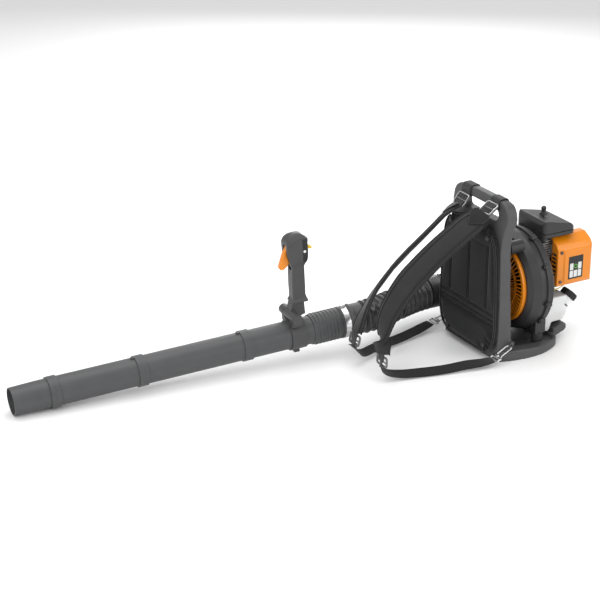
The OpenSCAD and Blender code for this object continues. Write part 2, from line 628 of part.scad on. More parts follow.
module filter_cover() color(plastic) difference() {
    intersection() {
        translate([0, 0, box_seam + fit_gap / 2]) linear_extrude(60) box_shape(0);
        // The lid is highest at the front and falls in two steps to the rear edge.
        translate([-100, 0, 0]) rotate([90, 0, 90]) linear_extrude(200) polygon([[box_front, box_seam],
            [box_front, box_top_front - 12], [box_front + 10, box_top_front], [box_back - 14, box_top_back],
            [box_back, box_top_back - 14], [box_back, box_seam]]);
    }
    intersection() {
        translate([0, 0, box_seam - 1]) linear_extrude(60) box_shape(wall);
        translate([-100, 0, 0]) rotate([90, 0, 90]) linear_extrude(200) polygon([[box_front, box_seam - 2],
            [box_front, box_top_front - 16], [box_front + 10, box_top_front - 4], [box_back - 15,
                box_top_back - 4],
            [box_back, box_top_back - 18], [box_back, box_seam - 2]]);
    }
    translate([0, 224, box_seam]) cylinder(r = 3.6, h = 60);
}
knob_base = 354;
module filter_knob() color(soft_black) {
    translate([0, 224, knob_base]) cylinder(r1 = 12, r2 = 10, h = 7);
    translate([0, 224, knob_base + 6]) rotate_extrude() polygon(concat([[0, 0], [7, 0], [6.4, 8]], arc([0,
        12], 7.5, -10, 90, 8)));
    translate([0, 224, filter_floor + 12]) cylinder(r = 3, h = knob_base - filter_floor - 12 + 1);
}
// ---------- engine cover, starter and fuel ----------
cover_face = 80;
cover_front = 222;
cover_back = 342;
cover_bottom = 160;
cover_wall = 2.6;
cover_screws = [[cover_face + 0.4, cover_front + 12, cover_bottom + 14], [cover_face + 0.4, cover_front + 12,
    262]];
module engine_cover() color(orange) difference() {
    union() {
        translate([0, cover_back, 0]) rotate([90, 0, 0]) linear_extrude(cover_back - cover_front)
            polygon([[cover_face, cover_bottom], [cover_face, 270], [cover_face - 9, 284], [44, 299], [18,
                299], [18, 238],
                [44, 214], [56, cover_bottom]]);
        // Raised panel that carries the label.
        translate([cover_face - 1, 0, 0]) rotate([90, 0, 90]) linear_extrude(5)
            polygon(round_box([cover_front + 22, cover_bottom + 8], [cover_back - 6, 266], 6));
    }
    // Hollow inside, open below and towards the cylinder.
    translate([0, cover_back - cover_wall, 0]) rotate([90, 0, 0])
        linear_extrude(cover_back - cover_front - 2 * cover_wall)
        polygon([[cover_face - cover_wall, cover_bottom - 5], [cover_face - cover_wall, 269],
            [cover_face - 10, 282],
            [43.5, 296.4], [10, 296.4], [10, 225], [40, 200], [50, cover_bottom - 5]]);
    // Cooling slots in the front and rear walls.
    for (i = [0:5], y = [cover_front - 1, cover_back - cover_wall - 1]) translate([52, y, 190 + 12 * i])
        cube([20, cover_wall + 2, 5]);
    for (p = cover_screws) translate(p - [20, 0, 0]) rotate([0, 90, 0]) cylinder(r = 2.4, h = 30);
    // Room for the cylinder's fins in the front wall.
    translate([10, cover_front - 1, cover_bottom - 1]) cube([38.5, cover_wall + 2, 136]);
}
module info_label() color([0.85, 0.86, 0.84]) translate([cover_face + 4.05, 0, 0]) rotate([90, 0, 90])
    linear_extrude(0.5)
    polygon(round_box([258, 178], [308, 246], 2));
starter_radius = 54;
module starter_housing() color(plastic) difference() {
    union() {
        fan_axis(case_back + 0.1) cylinder(r = starter_radius, h = 36);
        translate([-62, case_back + 10, axis_height - 30]) cube([18, 16, 16]);
    }
    fan_axis(case_back - 1) cylinder(r = starter_radius - wall, h = 34);
    for (i = [0:11]) fan_axis(case_back + 30) rotate([0, 0, 30 * i]) translate([24, -3, 0]) cube([20, 6, 10]);
    // Guide for the starter rope.
    translate([-70, case_back + 18, axis_height - 22]) rotate([0, 90, 0]) cylinder(r = 3.5, h = 40);
    fan_axis(case_back - 2) cylinder(r = shaft_radius + 3, h = 12);
}
module starter_pulley() color(alloy) difference() {
    union() {
        fan_axis(case_back + 4) cylinder(r = 42, h = 3);
        fan_axis(case_back + 6) cylinder(r = 36, h = 8);
        fan_axis(case_back + 13) cylinder(r = 42, h = 3);
    }
    fan_axis(case_back) cylinder(r = shaft_radius + 0.1, h = 30);
}
tank_front = 178;
tank_back = 284;
tank_bottom = 50;
tank_top = 124;
cap_place = [54, 281, 110];
cap_lean = 45;
module cap_frame() translate(cap_place) rotate([-cap_lean, 0, 0]) children();
module tank_shape(gap) intersection() {
    translate([gap - tank_width / 2, 0, 0]) rotate([90, 0, 90]) linear_extrude(tank_width - 2 * gap)
        polygon([[tank_front + 6 + gap, 30 + gap], [tank_front + 30 + gap, 24 + gap],
            [guard_bar_front - 5 - gap, 30 + gap],
            [guard_bar_front + 2 - gap, tank_bottom + gap], [tank_back - 26 - gap, tank_bottom + gap],
                [tank_back - 12 - gap, 66],
            [tank_back - gap, tank_top - 22], [tank_back - 14, tank_top - gap], [tank_front + 22,
                tank_top - gap],
            [tank_front + gap, tank_top - 26 - gap]]);
    linear_extrude(200) polygon(round_box([gap - tank_width / 2, tank_front + gap - 2], [tank_width / 2 - gap,
        tank_back + 2 - gap], 24));
}
module fuel_tank() color([0.93, 0.93, 0.90, 0.75]) difference() {
    union() {
        tank_shape(0);
        cap_frame() translate([0, 0, -20]) cylinder(r = 21, h = 22);
    }
    tank_shape(2.2);
    cap_frame() translate([0, 0, -22]) cylinder(r = 17, h = 40);
    translate(grommet_place - [0, 0, 5]) cylinder(r = 6.5, h = 20);
}
grommet_place = [46, 214, tank_top];
module fuel_cap() color(soft_black) cap_frame() difference() {
    union() {
        translate([0, 0, 2 + fit_gap]) cylinder(r = 23, h = 17);
        for (i = [0:15]) rotate([0, 0, 22.5 * i]) translate([22.4, -1.8, 2 + fit_gap]) cube([2, 3.6, 15]);
        translate([0, 0, -8]) cylinder(r = 16.6, h = 11);
    }
    translate([0, 0, -9]) cylinder(r = 14, h = 14);
}
module tank_grommet() color(rubber) translate(grommet_place) difference() {
    union() {
        cylinder(r = 10, h = 4);
        translate([0, 0, -3]) cylinder(r = 6.4, h = 4);
    }
    for (x = [-2.6, 2.6]) translate([x, 0, -4]) cylinder(r = 1.7, h = 10);
}
feed_path = [[43.4, 214, 117], [43.4, 214, 130], [45, 212, 138], [52, 212, 145], [56, 220, 151], [56, 230,
    155], [54, 242, 172],
    [48, 253, 200], [44.5, 259, 212], [43.5, 266, 224], [38, 276, 232], [28, 286, 236], [18, 289, 235], [14,
        289, 236.6],
    [14, 289, 240.9]];
return_path = [[48.6, 214, 117], [48.6, 214, 129], [52, 219, 136], [58, 230, 142], [64, 244, 148], [66, 256,
    154],
    [64, 268, 166], [62, 280, 184], [57, 292.5, 199], [50, 302, 205.5], [44, 302, 211], [38, 302, 219],
    [28, 302, 228], [14, 300, 235], [6, 298.6, 236], [4, 298, 237.6], [4, 298, 240.9]];
module fuel_lines() color([0.85, 0.75, 0.25]) {
    cord(feed_path, 1.6);
    cord(return_path, 1.6);
}

// ---------- hose ----------
elbow_bend = 46;
elbow_end = -6;
hose_x = outlet[0] - 3 - elbow_bend;
hose_z = outlet[2];
module elbow() color(plastic) difference() {
    union() {
        elbow_body(outlet_radius, 0);
        translate([outlet[0] - 3, outlet[1], outlet[2]]) rotate([0, 90, 0]) cylinder(r = outlet_radius + 5,
            h = 2.9);
    }
    elbow_body(outlet_radius - wall, 5);
}
// The bend with straight ends, each run past its face by the given length.
module elbow_body(r, past) {
    bend = [outlet[0] - 3, outlet[1] - elbow_bend, outlet[2]];
    translate(bend) rotate([0, 0, 90]) rotate_extrude(angle = 90) translate([elbow_bend, 0]) circle(r = r);
    translate(bend - [elbow_bend, 0, 0]) rotate([90, 0, 0]) cylinder(r = r, h = bend[1] - elbow_end + past);
    if (past > 0) translate(bend + [0, elbow_bend, 0]) rotate([0, 90, 0]) cylinder(r = r, h = past);
}
// The hose's middle line: a cubic curve from the rear cuff to the front cuff.
tube_dir = [-sin(tube_yaw) * cos(tube_pitch), -cos(tube_yaw) * cos(tube_pitch), -sin(tube_pitch)];
tube_start = [-142, -330, 93.2];
cuff_back = -38;
hose_a = [hose_x, -30, hose_z];
hose_d = tube_start + cuff_back * tube_dir;
hose_b = hose_a + [0, -90, 0];
hose_c = hose_d - 90 * tube_dir;
function hose_at(t) = pow(1 - t, 3) * hose_a + 3 * t * pow(1 - t, 2) * hose_b + 3 * t * t * (1 - t)
    * hose_c + pow(t, 3) * hose_d;
function hose_dir(t) = unit(pow(1 - t, 2) * (hose_b - hose_a) + 2 * t * (1 - t) * (hose_c - hose_b)
    + t * t * (hose_d - hose_c));
bellows_outer = 47;
bellows_valley = 41;
bellows_inner = 37.5;
bellows_sides = 28;
ridges = 8;
ring_share = 0.025;
ring_middle = 0.5;
function ridge_radius(k) = k % 2 == 0 ? bellows_valley : bellows_outer;
module bellows(from, to) {
    stations = [for (k = [0:2 * ridges]) from + (to - from) * k / (2 * ridges)];
    outer = [for (k = [0:2 * ridges]) ring(hose_at(stations[k]), hose_dir(stations[k]), ridge_radius(k),
        bellows_sides)];
    inner = [for (k = [2 * ridges:-2:0]) ring(hose_at(stations[k]), hose_dir(stations[k]), bellows_inner,
        bellows_sides)];
    skin(concat(outer, inner), true);
}
cuff_length = 58;
module rear_bellows() color(plastic) {
    bellows(0, ring_middle - ring_share);
    translate(hose_a) rotate([-90, 0, 0]) difference() {
        cylinder(r = outlet_radius + 4, h = cuff_length);
        translate([0, 0, -1]) cylinder(r = bellows_inner, h = cuff_length + 2);
        translate([0, 0, elbow_end - hose_a[1] - 0.2]) cylinder(r = outlet_radius + 0.2, h = cuff_length);
    }
}
module front_bellows() color(plastic) bellows(ring_middle + ring_share, 1);
module rear_hose_clamp() color(steel) translate([hose_x, 10, hose_z]) rotate([-90, 0, 0]) {
    pipe(outlet_radius + 5.2, outlet_radius + 4.05, 11);
    translate([-6, -outlet_radius - 12, 0]) cube([12, 7.5, 11]);
}
module hose_ring() color(plastic) skin([for (q = [[-1, 44], [1, 44], [1, bellows_inner], [-1, bellows_inner]])
    ring(hose_at(ring_middle) + q[0] * 3.6 * hose_dir(ring_middle), hose_dir(ring_middle), q[1], 36)], true);

// ---------- blow tube: local +Z points at the nozzle, +Y is up ----------
module on_tube(place) translate(tube_start + place * tube_dir) rotate([90 + tube_pitch, 0, -tube_yaw])
    children();
swivel_gap = 0.08;
cuff_front = 31;
module front_cuff() color(plastic) on_tube(0) rotate_extrude() polygon([[tube_radius + swivel_gap,
    cuff_back + 14],
    [tube_radius + swivel_gap, cuff_front], [44.5, cuff_front], [44.5, 3], [46.5, 0], [46.5, -8], [44, -12],
    [44, cuff_back + 0.2], [bellows_inner, cuff_back + 0.2], [bellows_inner, cuff_back + 12]]);
module front_hose_clamp() color(steel) on_tube(8) {
    pipe(45.8, 44.55, 16);
    translate([-5, 45.2, 1]) cube([10, 8, 14]);
}
tube_inner = tube_radius - tube_wall;
collar_radius = 43;
collar_length = 13;
sleeve_radius = 42.4;
sleeve_length = 86;
rib_pitch = 11;
spigot_length = 22;
spigot_inner = tube_inner - 2;
peg = [8, 5.5, 9];
// Outline of a section's front end: collar outside, spigot for the next section inside.
function front_end(to) = [[tube_radius, to - collar_length - 1], [collar_radius, to - collar_length],
    [collar_radius, to],
    [tube_inner - 0.12, to], [tube_inner - 0.12, to + spigot_length], [spigot_inner, to + spigot_length],
    [spigot_inner, to - 16], [tube_inner, to - 18]];
function rear_end(from, r, body = tube_radius) = [[tube_inner, from], [r, from], [r, from + collar_length],
    [body, from + collar_length + 1]];
function ribs(from) = [for (i = [0:6]) each let (s = from + 6 + rib_pitch * i)
    [[sleeve_radius, s], [44.6, s + 1.5], [44.6, s + 5.5], [sleeve_radius, s + 7]]];
module tube_body(points) on_tube(0) rotate_extrude() polygon(points);
// Bayonet peg just past a collar.
module tube_peg(from) on_tube(from + collar_length + 0.5) translate([-peg[0] / 2, tube_radius - 1, 0])
    cube(peg);
middle_start = upper_length + 0.1;
lower_start = middle_start + middle_length;
nozzle_start = lower_start + lower_length;
sleeve_start = cuff_front + 0.4;
module upper_tube() color(plastic) tube_body(concat([[tube_inner, -22], [tube_radius, -22], [tube_radius,
    sleeve_start],
    [sleeve_radius, sleeve_start]], ribs(sleeve_start), [[sleeve_radius, sleeve_start + sleeve_length],
    [tube_radius, sleeve_start + sleeve_length + 1]], front_end(upper_length)));
module middle_tube() color(plastic) {
    tube_body(concat(rear_end(middle_start, collar_radius), front_end(lower_start - 0.1)));
    tube_peg(middle_start);
}
module lower_tube() color(plastic) {
    tube_body(concat(rear_end(lower_start, collar_radius), front_end(nozzle_start - 0.1)));
    tube_peg(lower_start);
}
nozzle_straight = 42;
module nozzle() color(plastic) tube_body(concat(rear_end(nozzle_start, collar_radius, nozzle_radius),
    [[nozzle_radius, nozzle_start + nozzle_straight], [mouth_radius, nozzle_start + nozzle_length],
        [mouth_radius - tube_wall, nozzle_start + nozzle_length],
        [tube_inner, nozzle_start + nozzle_straight]]));

// ---------- control handle, in the tube's frame ----------
clamp_half = 23;
barrel_height = 62;
barrel_offset = 11;
barrel_radius = 14;
barrel_half = 44;
knuckle_half = 18;
grip_place = -15;
module at_clamp() on_tube(clamp_place) children();
module barrel(from, to, r) translate([from, barrel_height, barrel_offset]) rotate([0, 90, 0]) cylinder(r = r,
    h = to - from);
module handle_clamp() color(plastic) at_clamp() difference() {
    union() {
        translate([0, 0, -clamp_half]) cylinder(r = tube_radius + 4.2, h = 2 * clamp_half);
        translate([-barrel_half + 8, 34, barrel_offset - 9]) cube([2 * barrel_half - 16, 22, 18]);
        barrel(-barrel_half, barrel_half, barrel_radius);
        // Pinch lugs under the ring.
        translate([-11, -tube_radius - 13, -8]) cube([22, 12, 16]);
    }
    translate([0, 0, -clamp_half - 1]) cylinder(r = tube_radius + 0.1, h = 2 * clamp_half + 2);
    translate([-1.5, -tube_radius - 20, -clamp_half - 1]) cube([3, 22, 2 * clamp_half + 2]);
    translate([-knuckle_half - 0.3, barrel_height - barrel_radius - 1.5, barrel_offset - 20])
        cube([2 * knuckle_half + 0.6, 40, 50]);
    barrel(-barrel_half + 6, barrel_half + 1, 4.1);
}
module clamp_knob() color(plastic) at_clamp() {
    barrel(barrel_half + 0.4, barrel_half + 11, 15);
    for (i = [0:7]) translate([barrel_half + 1.4, barrel_height, barrel_offset]) rotate([45 * i, 0, 0])
        translate([0, 13, -3])
        cube([8, 3.4, 6]);
    barrel(-barrel_half + 7, barrel_half + 1, 4);
}
module handle_bracket() color(soft_black) at_clamp() difference() {
    union() {
        barrel(-knuckle_half, knuckle_half, barrel_radius - 0.5);
        translate([-knuckle_half + 3, 0, 0]) rotate([90, 0, 90]) linear_extrude(2 * knuckle_half - 6)
            polygon([[barrel_height - 6, barrel_offset + 9], [barrel_height + 34, barrel_offset - 4],
                [barrel_height + 34, grip_place - 12],
                [barrel_height - 2, grip_place - 14], [barrel_height - 8, barrel_offset - 12]]);
        // Cable stub that leaves the bracket's rear edge.
        translate([0, barrel_height + 4, grip_place - 8]) rotate([90, 0, 0]) cylinder(r = 3, h = 15);
    }
    barrel(-knuckle_half - 1, knuckle_half + 1, 4.1);
}
grip_bottom = barrel_height + 34;
head_bottom = 205;
function handle_side() = concat([[grip_bottom, 22], [grip_bottom + 4, 24], [grip_bottom + 14,
    grip_depth / 2 + 1],
    [grip_bottom + 60, grip_depth / 2 + 1], [head_bottom - 6, grip_depth / 2 - 1], [head_bottom + 8, 23],
        [handle_height - 62, 29.5],
    [handle_height - 36, 31]], arc([handle_height - 32, 0], 32, 80, -70, 14), [[handle_height - 62, -30],
        [head_bottom + 14, -28],
    [head_bottom - 2, -grip_depth / 2], [grip_bottom + 20, -grip_depth / 2], [grip_bottom + 4, -24],
        [grip_bottom, -24]]);
module handle_solid() intersection() {
    translate([-30, 0, grip_place]) rotate([90, 0, 90]) linear_extrude(60) polygon(handle_side());
    // Front outline: a flared foot, a slim grip and a wider head.
    translate([0, 0, grip_place - 45]) linear_extrude(100) polygon(mirrored(smooth([[19, grip_bottom - 1],
        [19, grip_bottom + 4],
        [grip_width / 2 - 0.5, grip_bottom + 16], [grip_width / 2, grip_bottom + 60], [grip_width / 2 + 1,
            head_bottom - 6],
        [21, head_bottom + 14], [22, handle_height - 50], [19, handle_height - 14], [9, handle_height - 1],
            [0, handle_height]], 4)));
}
// Hollow for the trigger, its cable and the rear switch panel.
module handle_space() translate([0, 0, grip_place]) {
    translate([-8.2, head_bottom - 12, -18]) cube([16.4, 75, 80]);
    translate([-13, head_bottom + 26, -42]) cube([26, 50, 24]);
    translate([-7, grip_bottom + 6, -9]) cube([14, head_bottom - grip_bottom, 18]);
}
module handle_half(s) at_clamp() intersection() {
    difference() {
        handle_solid();
        handle_space();
    }
    translate([s > 0 ? 0.02 : -40.02, 0, -60]) cube([40, 400, 120]);
}
module handle_left() color(plastic) handle_half(1);
module handle_right() color(plastic) handle_half(-1);
trigger_pivot = [258, 22];
module throttle_trigger() color(orange) at_clamp() difference() {
    translate([-7.6, 0, grip_place]) rotate([90, 0, 90]) linear_extrude(15.2)
        polygon(concat(arc(trigger_pivot, 6, -60, 100, 6),
        [[250, 34], [228, 43], [206, 51], [199, 49], [198, 38], [208, 26], [222, 16], [246, 12]]));
    translate([-20, trigger_pivot[0], grip_place + trigger_pivot[1]]) rotate([0, 90, 0]) cylinder(r = 2,
        h = 40);
}
lever_pivot = [252, -25];
module cruise_lever() color([0.95, 0.78, 0.10]) at_clamp() translate([1, 0, grip_place]) rotate([90, 0, 90])
    linear_extrude(9)
    polygon(concat(arc(lever_pivot, 5, 60, 180, 5), [[246, -35], [244, -45], [250, -47], [256, -39],
        [257, -31]]));
module stop_switch() color(soft_black) at_clamp()
    translate([-10, handle_height - 32, grip_place - 35]) difference() {
    cube([20, 14, 12]);
    translate([-1, 14, -1]) rotate([45, 0, 0]) translate([0, -2.5, -2.5]) cube([24, 5, 5]);
}

frame();
back_pad();
pad_rivets();
strap_left();
strap_right();
bar_loops();
buckles();
lower_webbing();
snap_hooks();
gate_left();
gate_right();
rubber_mounts();
housing_front();
housing_rear();
intake_guard();
screws();
impeller();
crankshaft();
flywheel();
crankcase();
cylinder_block();  // cylinder
piston();
connecting_rod();
spark_plug();
plug_cap();
ignition_coil();
muffler();
carburettor();
primer_bulb();
filter_base();
filter_element();
filter_cover();
filter_knob();
engine_cover();
info_label();
starter_housing();
starter_pulley();
fuel_tank();
fuel_cap();
tank_grommet();
fuel_lines();
elbow();
rear_hose_clamp();
rear_bellows();
hose_ring();
front_bellows();
front_cuff();
front_hose_clamp();
upper_tube();
middle_tube();
lower_tube();
nozzle();
handle_clamp();
clamp_knob();
handle_bracket();
handle_left();
handle_right();
throttle_trigger();
cruise_lever();
stop_switch();
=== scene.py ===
import json
import math
import random

import bmesh
import bpy
from mathutils import Matrix, Vector

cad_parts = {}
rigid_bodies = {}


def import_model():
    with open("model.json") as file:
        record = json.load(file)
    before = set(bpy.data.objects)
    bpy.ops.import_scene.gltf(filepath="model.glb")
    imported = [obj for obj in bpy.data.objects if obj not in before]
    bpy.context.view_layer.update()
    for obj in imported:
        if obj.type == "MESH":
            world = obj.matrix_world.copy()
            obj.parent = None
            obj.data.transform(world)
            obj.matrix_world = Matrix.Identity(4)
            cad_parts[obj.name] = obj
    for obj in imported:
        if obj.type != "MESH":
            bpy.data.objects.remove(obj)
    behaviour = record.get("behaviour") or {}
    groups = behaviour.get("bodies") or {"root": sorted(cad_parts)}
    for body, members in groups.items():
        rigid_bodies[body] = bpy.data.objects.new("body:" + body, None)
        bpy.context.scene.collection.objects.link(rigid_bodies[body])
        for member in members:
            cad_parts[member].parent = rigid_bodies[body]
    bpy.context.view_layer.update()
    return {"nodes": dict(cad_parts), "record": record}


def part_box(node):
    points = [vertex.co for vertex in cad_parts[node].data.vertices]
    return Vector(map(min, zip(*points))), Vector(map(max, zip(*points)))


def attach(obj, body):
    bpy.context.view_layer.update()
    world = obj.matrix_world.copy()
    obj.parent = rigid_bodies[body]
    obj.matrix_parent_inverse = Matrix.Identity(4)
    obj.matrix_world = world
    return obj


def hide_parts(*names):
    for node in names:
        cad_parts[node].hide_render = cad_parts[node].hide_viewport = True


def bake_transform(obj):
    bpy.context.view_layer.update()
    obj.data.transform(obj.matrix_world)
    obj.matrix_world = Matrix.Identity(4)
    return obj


for thing in list(bpy.data.objects):
    bpy.data.objects.remove(thing)
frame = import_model()
random.seed(7)
print("frame loaded")

# Camera, floor and lights

viewpoint = {"place": (3.7409, -2.6798, 2.0807), "turn": 60.5, "drop": 23.0, "lens": 106.34}
turn, drop = math.radians(viewpoint["turn"]), math.radians(viewpoint["drop"])
camera = bpy.data.objects.new("camera", bpy.data.cameras.new("camera"))
bpy.context.scene.collection.objects.link(camera)
camera.data.lens = viewpoint["lens"]
camera.data.sensor_width = 36
camera.location = viewpoint["place"]
looking = Vector((-math.sin(turn) * math.cos(drop), math.cos(turn) * math.cos(drop), -math.sin(drop)))
camera.rotation_mode = "QUATERNION"
camera.rotation_quaternion = looking.to_track_quat("-Z", "Y")
camera.data.clip_start, camera.data.clip_end = 0.05, 60
bpy.context.scene.camera = camera


def softLight(name, place, aim, size, power, tint=(1, 1, 1)):
    data = bpy.data.lights.new(name, "AREA")
    data.shape, data.size, data.energy, data.color = "SQUARE", size, power, tint
    light = bpy.data.objects.new(name, data)
    bpy.context.scene.collection.objects.link(light)
    light.location = place
    light.rotation_mode = "QUATERNION"
    light.rotation_quaternion = (Vector(aim) - Vector(place)).to_track_quat("-Z", "Y")
    return light


centre = (0, -0.5, 0.2)
softLight("keyLight", (1.6, -3.2, 2.6), centre, 2.2, 62)
softLight("fillLight", (3.2, 1.6, 1.8), centre, 2.4, 44)
softLight("topLight", (-0.6, -0.4, 3.4), centre, 3.0, 66)
softLight("backLight", (-3.0, 1.4, 1.6), centre, 2.0, 34)
world = bpy.data.worlds.new("studio")
world.use_nodes = True
world.node_tree.nodes["Background"].inputs["Color"].default_value = (1, 1, 1, 1)
world.node_tree.nodes["Background"].inputs["Strength"].default_value = 0.62
bpy.context.scene.world = world
bpy.context.scene.view_settings.view_transform = "Standard"

# Shader sums as plain expressions


def plug(tree, value, socket):
    if isinstance(value, Wire):
        tree.links.new(value.socket, socket)
    elif hasattr(value, "__len__") and len(value) == 3 and socket.type == "RGBA":
        socket.default_value = (*value, 1)
    else:
        socket.default_value = value


class Wire:
    def __init__(self, tree, socket):
        self.tree, self.socket = tree, socket

    def sum(self, operation, *others, clamp=False):
        node = self.tree.nodes.new("ShaderNodeMath")
        node.operation, node.use_clamp = operation, clamp
        for place, value in enumerate((self, *others)):
            plug(self.tree, value, node.inputs[place])
        return Wire(self.tree, node.outputs[0])

    def __add__(self, other):
        return self.sum("ADD", other)

    def __sub__(self, other):
        return self.sum("SUBTRACT", other)

    def __mul__(self, other):
        return self.sum("MULTIPLY", other)

    def __truediv__(self, other):
        return self.sum("DIVIDE", other)

    def __rsub__(self, other):
        return self * -1 + other

    __radd__ = __add__
    __rmul__ = __mul__

    def clipped(self):
        return self.sum("ADD", 0, clamp=True)

    def wave(self, pitch):
        return (self * (2 * math.pi / pitch)).sum("SINE")


class Finish:
    def __init__(self, name):
        self.material = bpy.data.materials.new(name)
        self.material.use_nodes = True
        self.tree = self.material.node_tree
        self.shader = self.tree.nodes["Principled BSDF"]
        self.place = self.node("ShaderNodeTexCoord", output="Object")

    def node(self, kind, settings=None, values=None, output=0):
        node = self.tree.nodes.new(kind)
        for key, value in (settings or {}).items():
            if key == "stops":
                ramp = node.color_ramp
                while len(ramp.elements) < len(value):
                    ramp.elements.new(0.5)
                for stop, (at, shade) in zip(ramp.elements, value):
                    stop.position, stop.color = at, (*shade, 1)
            else:
                setattr(node, key, value)
        for key, value in (values or {}).items():
            plug(self.tree, value, node.inputs[key])
        return Wire(self.tree, node.outputs[output])

    def noise(self, size, detail=3, stretch=(1, 1, 1)):
        where = self.node("ShaderNodeMapping", None, {"Vector": self.place, "Scale": stretch})
        values = {"Vector": where, "Scale": 1 / size, "Detail": detail}
        return self.node("ShaderNodeTexNoise", None, values, "Fac")

    def cells(self, size, output="Distance"):
        return self.node("ShaderNodeTexVoronoi", None, {"Vector": self.place, "Scale": 1 / size}, output)

    def mixed(self, share, first, second):
        return self.node("ShaderNodeMix", {"data_type": "RGBA"}, {0: share, 6: first, 7: second}, 2)

    def parts(self, vector):
        split = self.tree.nodes.new("ShaderNodeSeparateXYZ")
        plug(self.tree, vector, split.inputs[0])
        return [Wire(self.tree, socket) for socket in split.outputs]

    def rounding(self, radius):
        return self.node("ShaderNodeBevel", {"samples": 4}, {"Radius": radius})

    def edges(self, rounded, strength):
        flat = self.node("ShaderNodeNewGeometry", output="Normal")
        settings = {"operation": "DOT_PRODUCT"}
        facing = self.node("ShaderNodeVectorMath", settings, {0: rounded, 1: flat}, "Value")
        return ((1 - facing) * strength).clipped()

    def relief(self, height, distance, normal=None):
        values = {"Height": height, "Distance": distance, "Strength": 1}
        if normal:
            values["Normal"] = normal
        self.set("Normal", self.node("ShaderNodeBump", None, values))

    def set(self, socket, value):
        plug(self.tree, value, self.shader.inputs[socket])


def shaded(tone, factor):
    return tuple(min(1, part * factor) for part in tone)


def moulded(name, tone, roughness=0.5, grain=0.0009, wear=0.25, mottle=0.16, radius=0.0012, coat=0,
            marks=None):
    finish = Finish(name)
    fine, broad = finish.noise(grain, 2), finish.noise(0.06, 4)
    scuffs = finish.noise(0.012, 5, (1, 0.12, 1))
    rounded = finish.rounding(radius)
    colour = finish.mixed(broad, shaded(tone, 1 - mottle), shaded(tone, 1 + mottle))
    dust = ((finish.noise(0.0035, 4) - 0.62) * 5).clipped() * 0.12
    colour = finish.mixed(dust, colour, shaded(tone, 1.9))
    colour = finish.mixed(finish.edges(rounded, 5) * wear, colour, shaded(tone, 1.75))
    finish.set("Base Color", marks(finish, colour) if marks else colour)
    finish.set("Roughness", (fine - 0.5) * 0.16 + (broad - 0.5) * 0.12 + (scuffs - 0.5) * 0.14 + roughness)
    finish.relief(fine + scuffs * 0.6, 0.00012, rounded)
    finish.shader.inputs["Specular IOR Level"].default_value = 0.42
    finish.shader.inputs["Coat Weight"].default_value = coat
    return finish.material


def metal(name, tone, roughness=0.28, brushed=(1, 1, 8), stain=0.2, radius=0.0006):
    finish = Finish(name)
    brush, broad = finish.noise(0.002, 3, brushed), finish.noise(0.03, 4)
    rounded = finish.rounding(radius)
    colour = finish.mixed(broad * stain, tone, shaded(tone, 0.45))
    finish.set("Base Color", colour)
    finish.set("Metallic", 1)
    finish.set("Roughness", (brush - 0.5) * 0.2 + (broad - 0.5) * 0.2 + roughness)
    finish.relief(brush, 0.00006, rounded)
    return finish.material


def castAlloy(name, tone):
    finish = Finish(name)
    sand, broad = finish.noise(0.0012, 3), finish.noise(0.02, 4)
    rounded = finish.rounding(0.001)
    colour = finish.mixed(broad, shaded(tone, 0.7), shaded(tone, 1.15))
    finish.set("Base Color", colour)
    finish.set("Metallic", 0.85)
    finish.set("Roughness", (broad - 0.5) * 0.25 + 0.5)
    finish.relief(sand, 0.0003, rounded)
    return finish.material


def webbingWeave(name, tone, pitch=0.0026):
    finish = Finish(name)
    across, along, _ = finish.parts(finish.node("ShaderNodeUVMap"))
    twill = (across + along).wave(pitch) * 0.5 + (across - along).wave(pitch) * 0.5
    ribs = across.wave(pitch * 0.8)
    fuzz, broad = finish.noise(0.0012, 3), finish.noise(0.03, 3)
    height = twill * 0.5 + ribs * 0.35 + fuzz
    # The colour follows the weave's height: painted shade darkens the low grooves and painted highlight
    # lightens the raised threads.
    colour = finish.mixed((height * 0.4 + 0.3).clipped(), shaded(tone, 0.6), shaded(tone, 1.5))
    colour = finish.mixed((broad - 0.35).clipped() * 0.5, colour, shaded(tone, 1.5))
    finish.set("Base Color", colour)
    finish.set("Roughness", (fuzz - 0.5) * 0.2 + 0.82)
    finish.relief(height, 0.0004)
    finish.shader.inputs["Sheen Weight"].default_value = 0.25
    finish.shader.inputs["Specular IOR Level"].default_value = 0.3
    return finish.material


def fabric(name, tone, cell=0.0019, roughness=0.85, sheen=0.2, slub=1.0):
    finish = Finish(name)
    mesh = finish.cells(cell)
    fuzz, broad = finish.noise(0.0009, 3), finish.noise(0.045, 4)
    thread = finish.noise(0.004, 3, (1, 6, 1))
    # The colour follows the cells that also raise the relief: painted shade darkens each cell's low middle,
    # painted highlight lightens its raised rim.
    colour = finish.mixed(mesh, shaded(tone, 0.65), shaded(tone, 1.4))
    colour = finish.mixed(((broad - 0.4) * 2).clipped() * 0.35 * slub, colour, shaded(tone, 1.8))
    lint = ((finish.noise(0.006, 5) - 0.68) * 8).clipped() * 0.14
    finish.set("Base Color", finish.mixed(lint, colour, (0.32, 0.32, 0.31)))
    finish.set("Roughness", (fuzz - 0.5) * 0.16 + roughness)
    finish.relief(mesh * 0.7 + fuzz * 0.4 + thread * 0.5, 0.0005)
    finish.shader.inputs["Sheen Weight"].default_value = sheen
    finish.shader.inputs["Specular IOR Level"].default_value = 0.28
    return finish.material


def softRubber(name, tone, roughness=0.5):
    finish = Finish(name)
    fine, broad = finish.noise(0.0008, 2), finish.noise(0.04, 4)
    rounded = finish.rounding(0.0008)
    bloom = ((broad - 0.45) * 2.4).clipped() * 0.3
    finish.set("Base Color", finish.mixed(bloom, tone, shaded(tone, 1.9)))
    finish.set("Roughness", (broad - 0.5) * 0.3 + (fine - 0.5) * 0.15 + roughness)
    finish.relief(fine, 0.0001, rounded)
    return finish.material


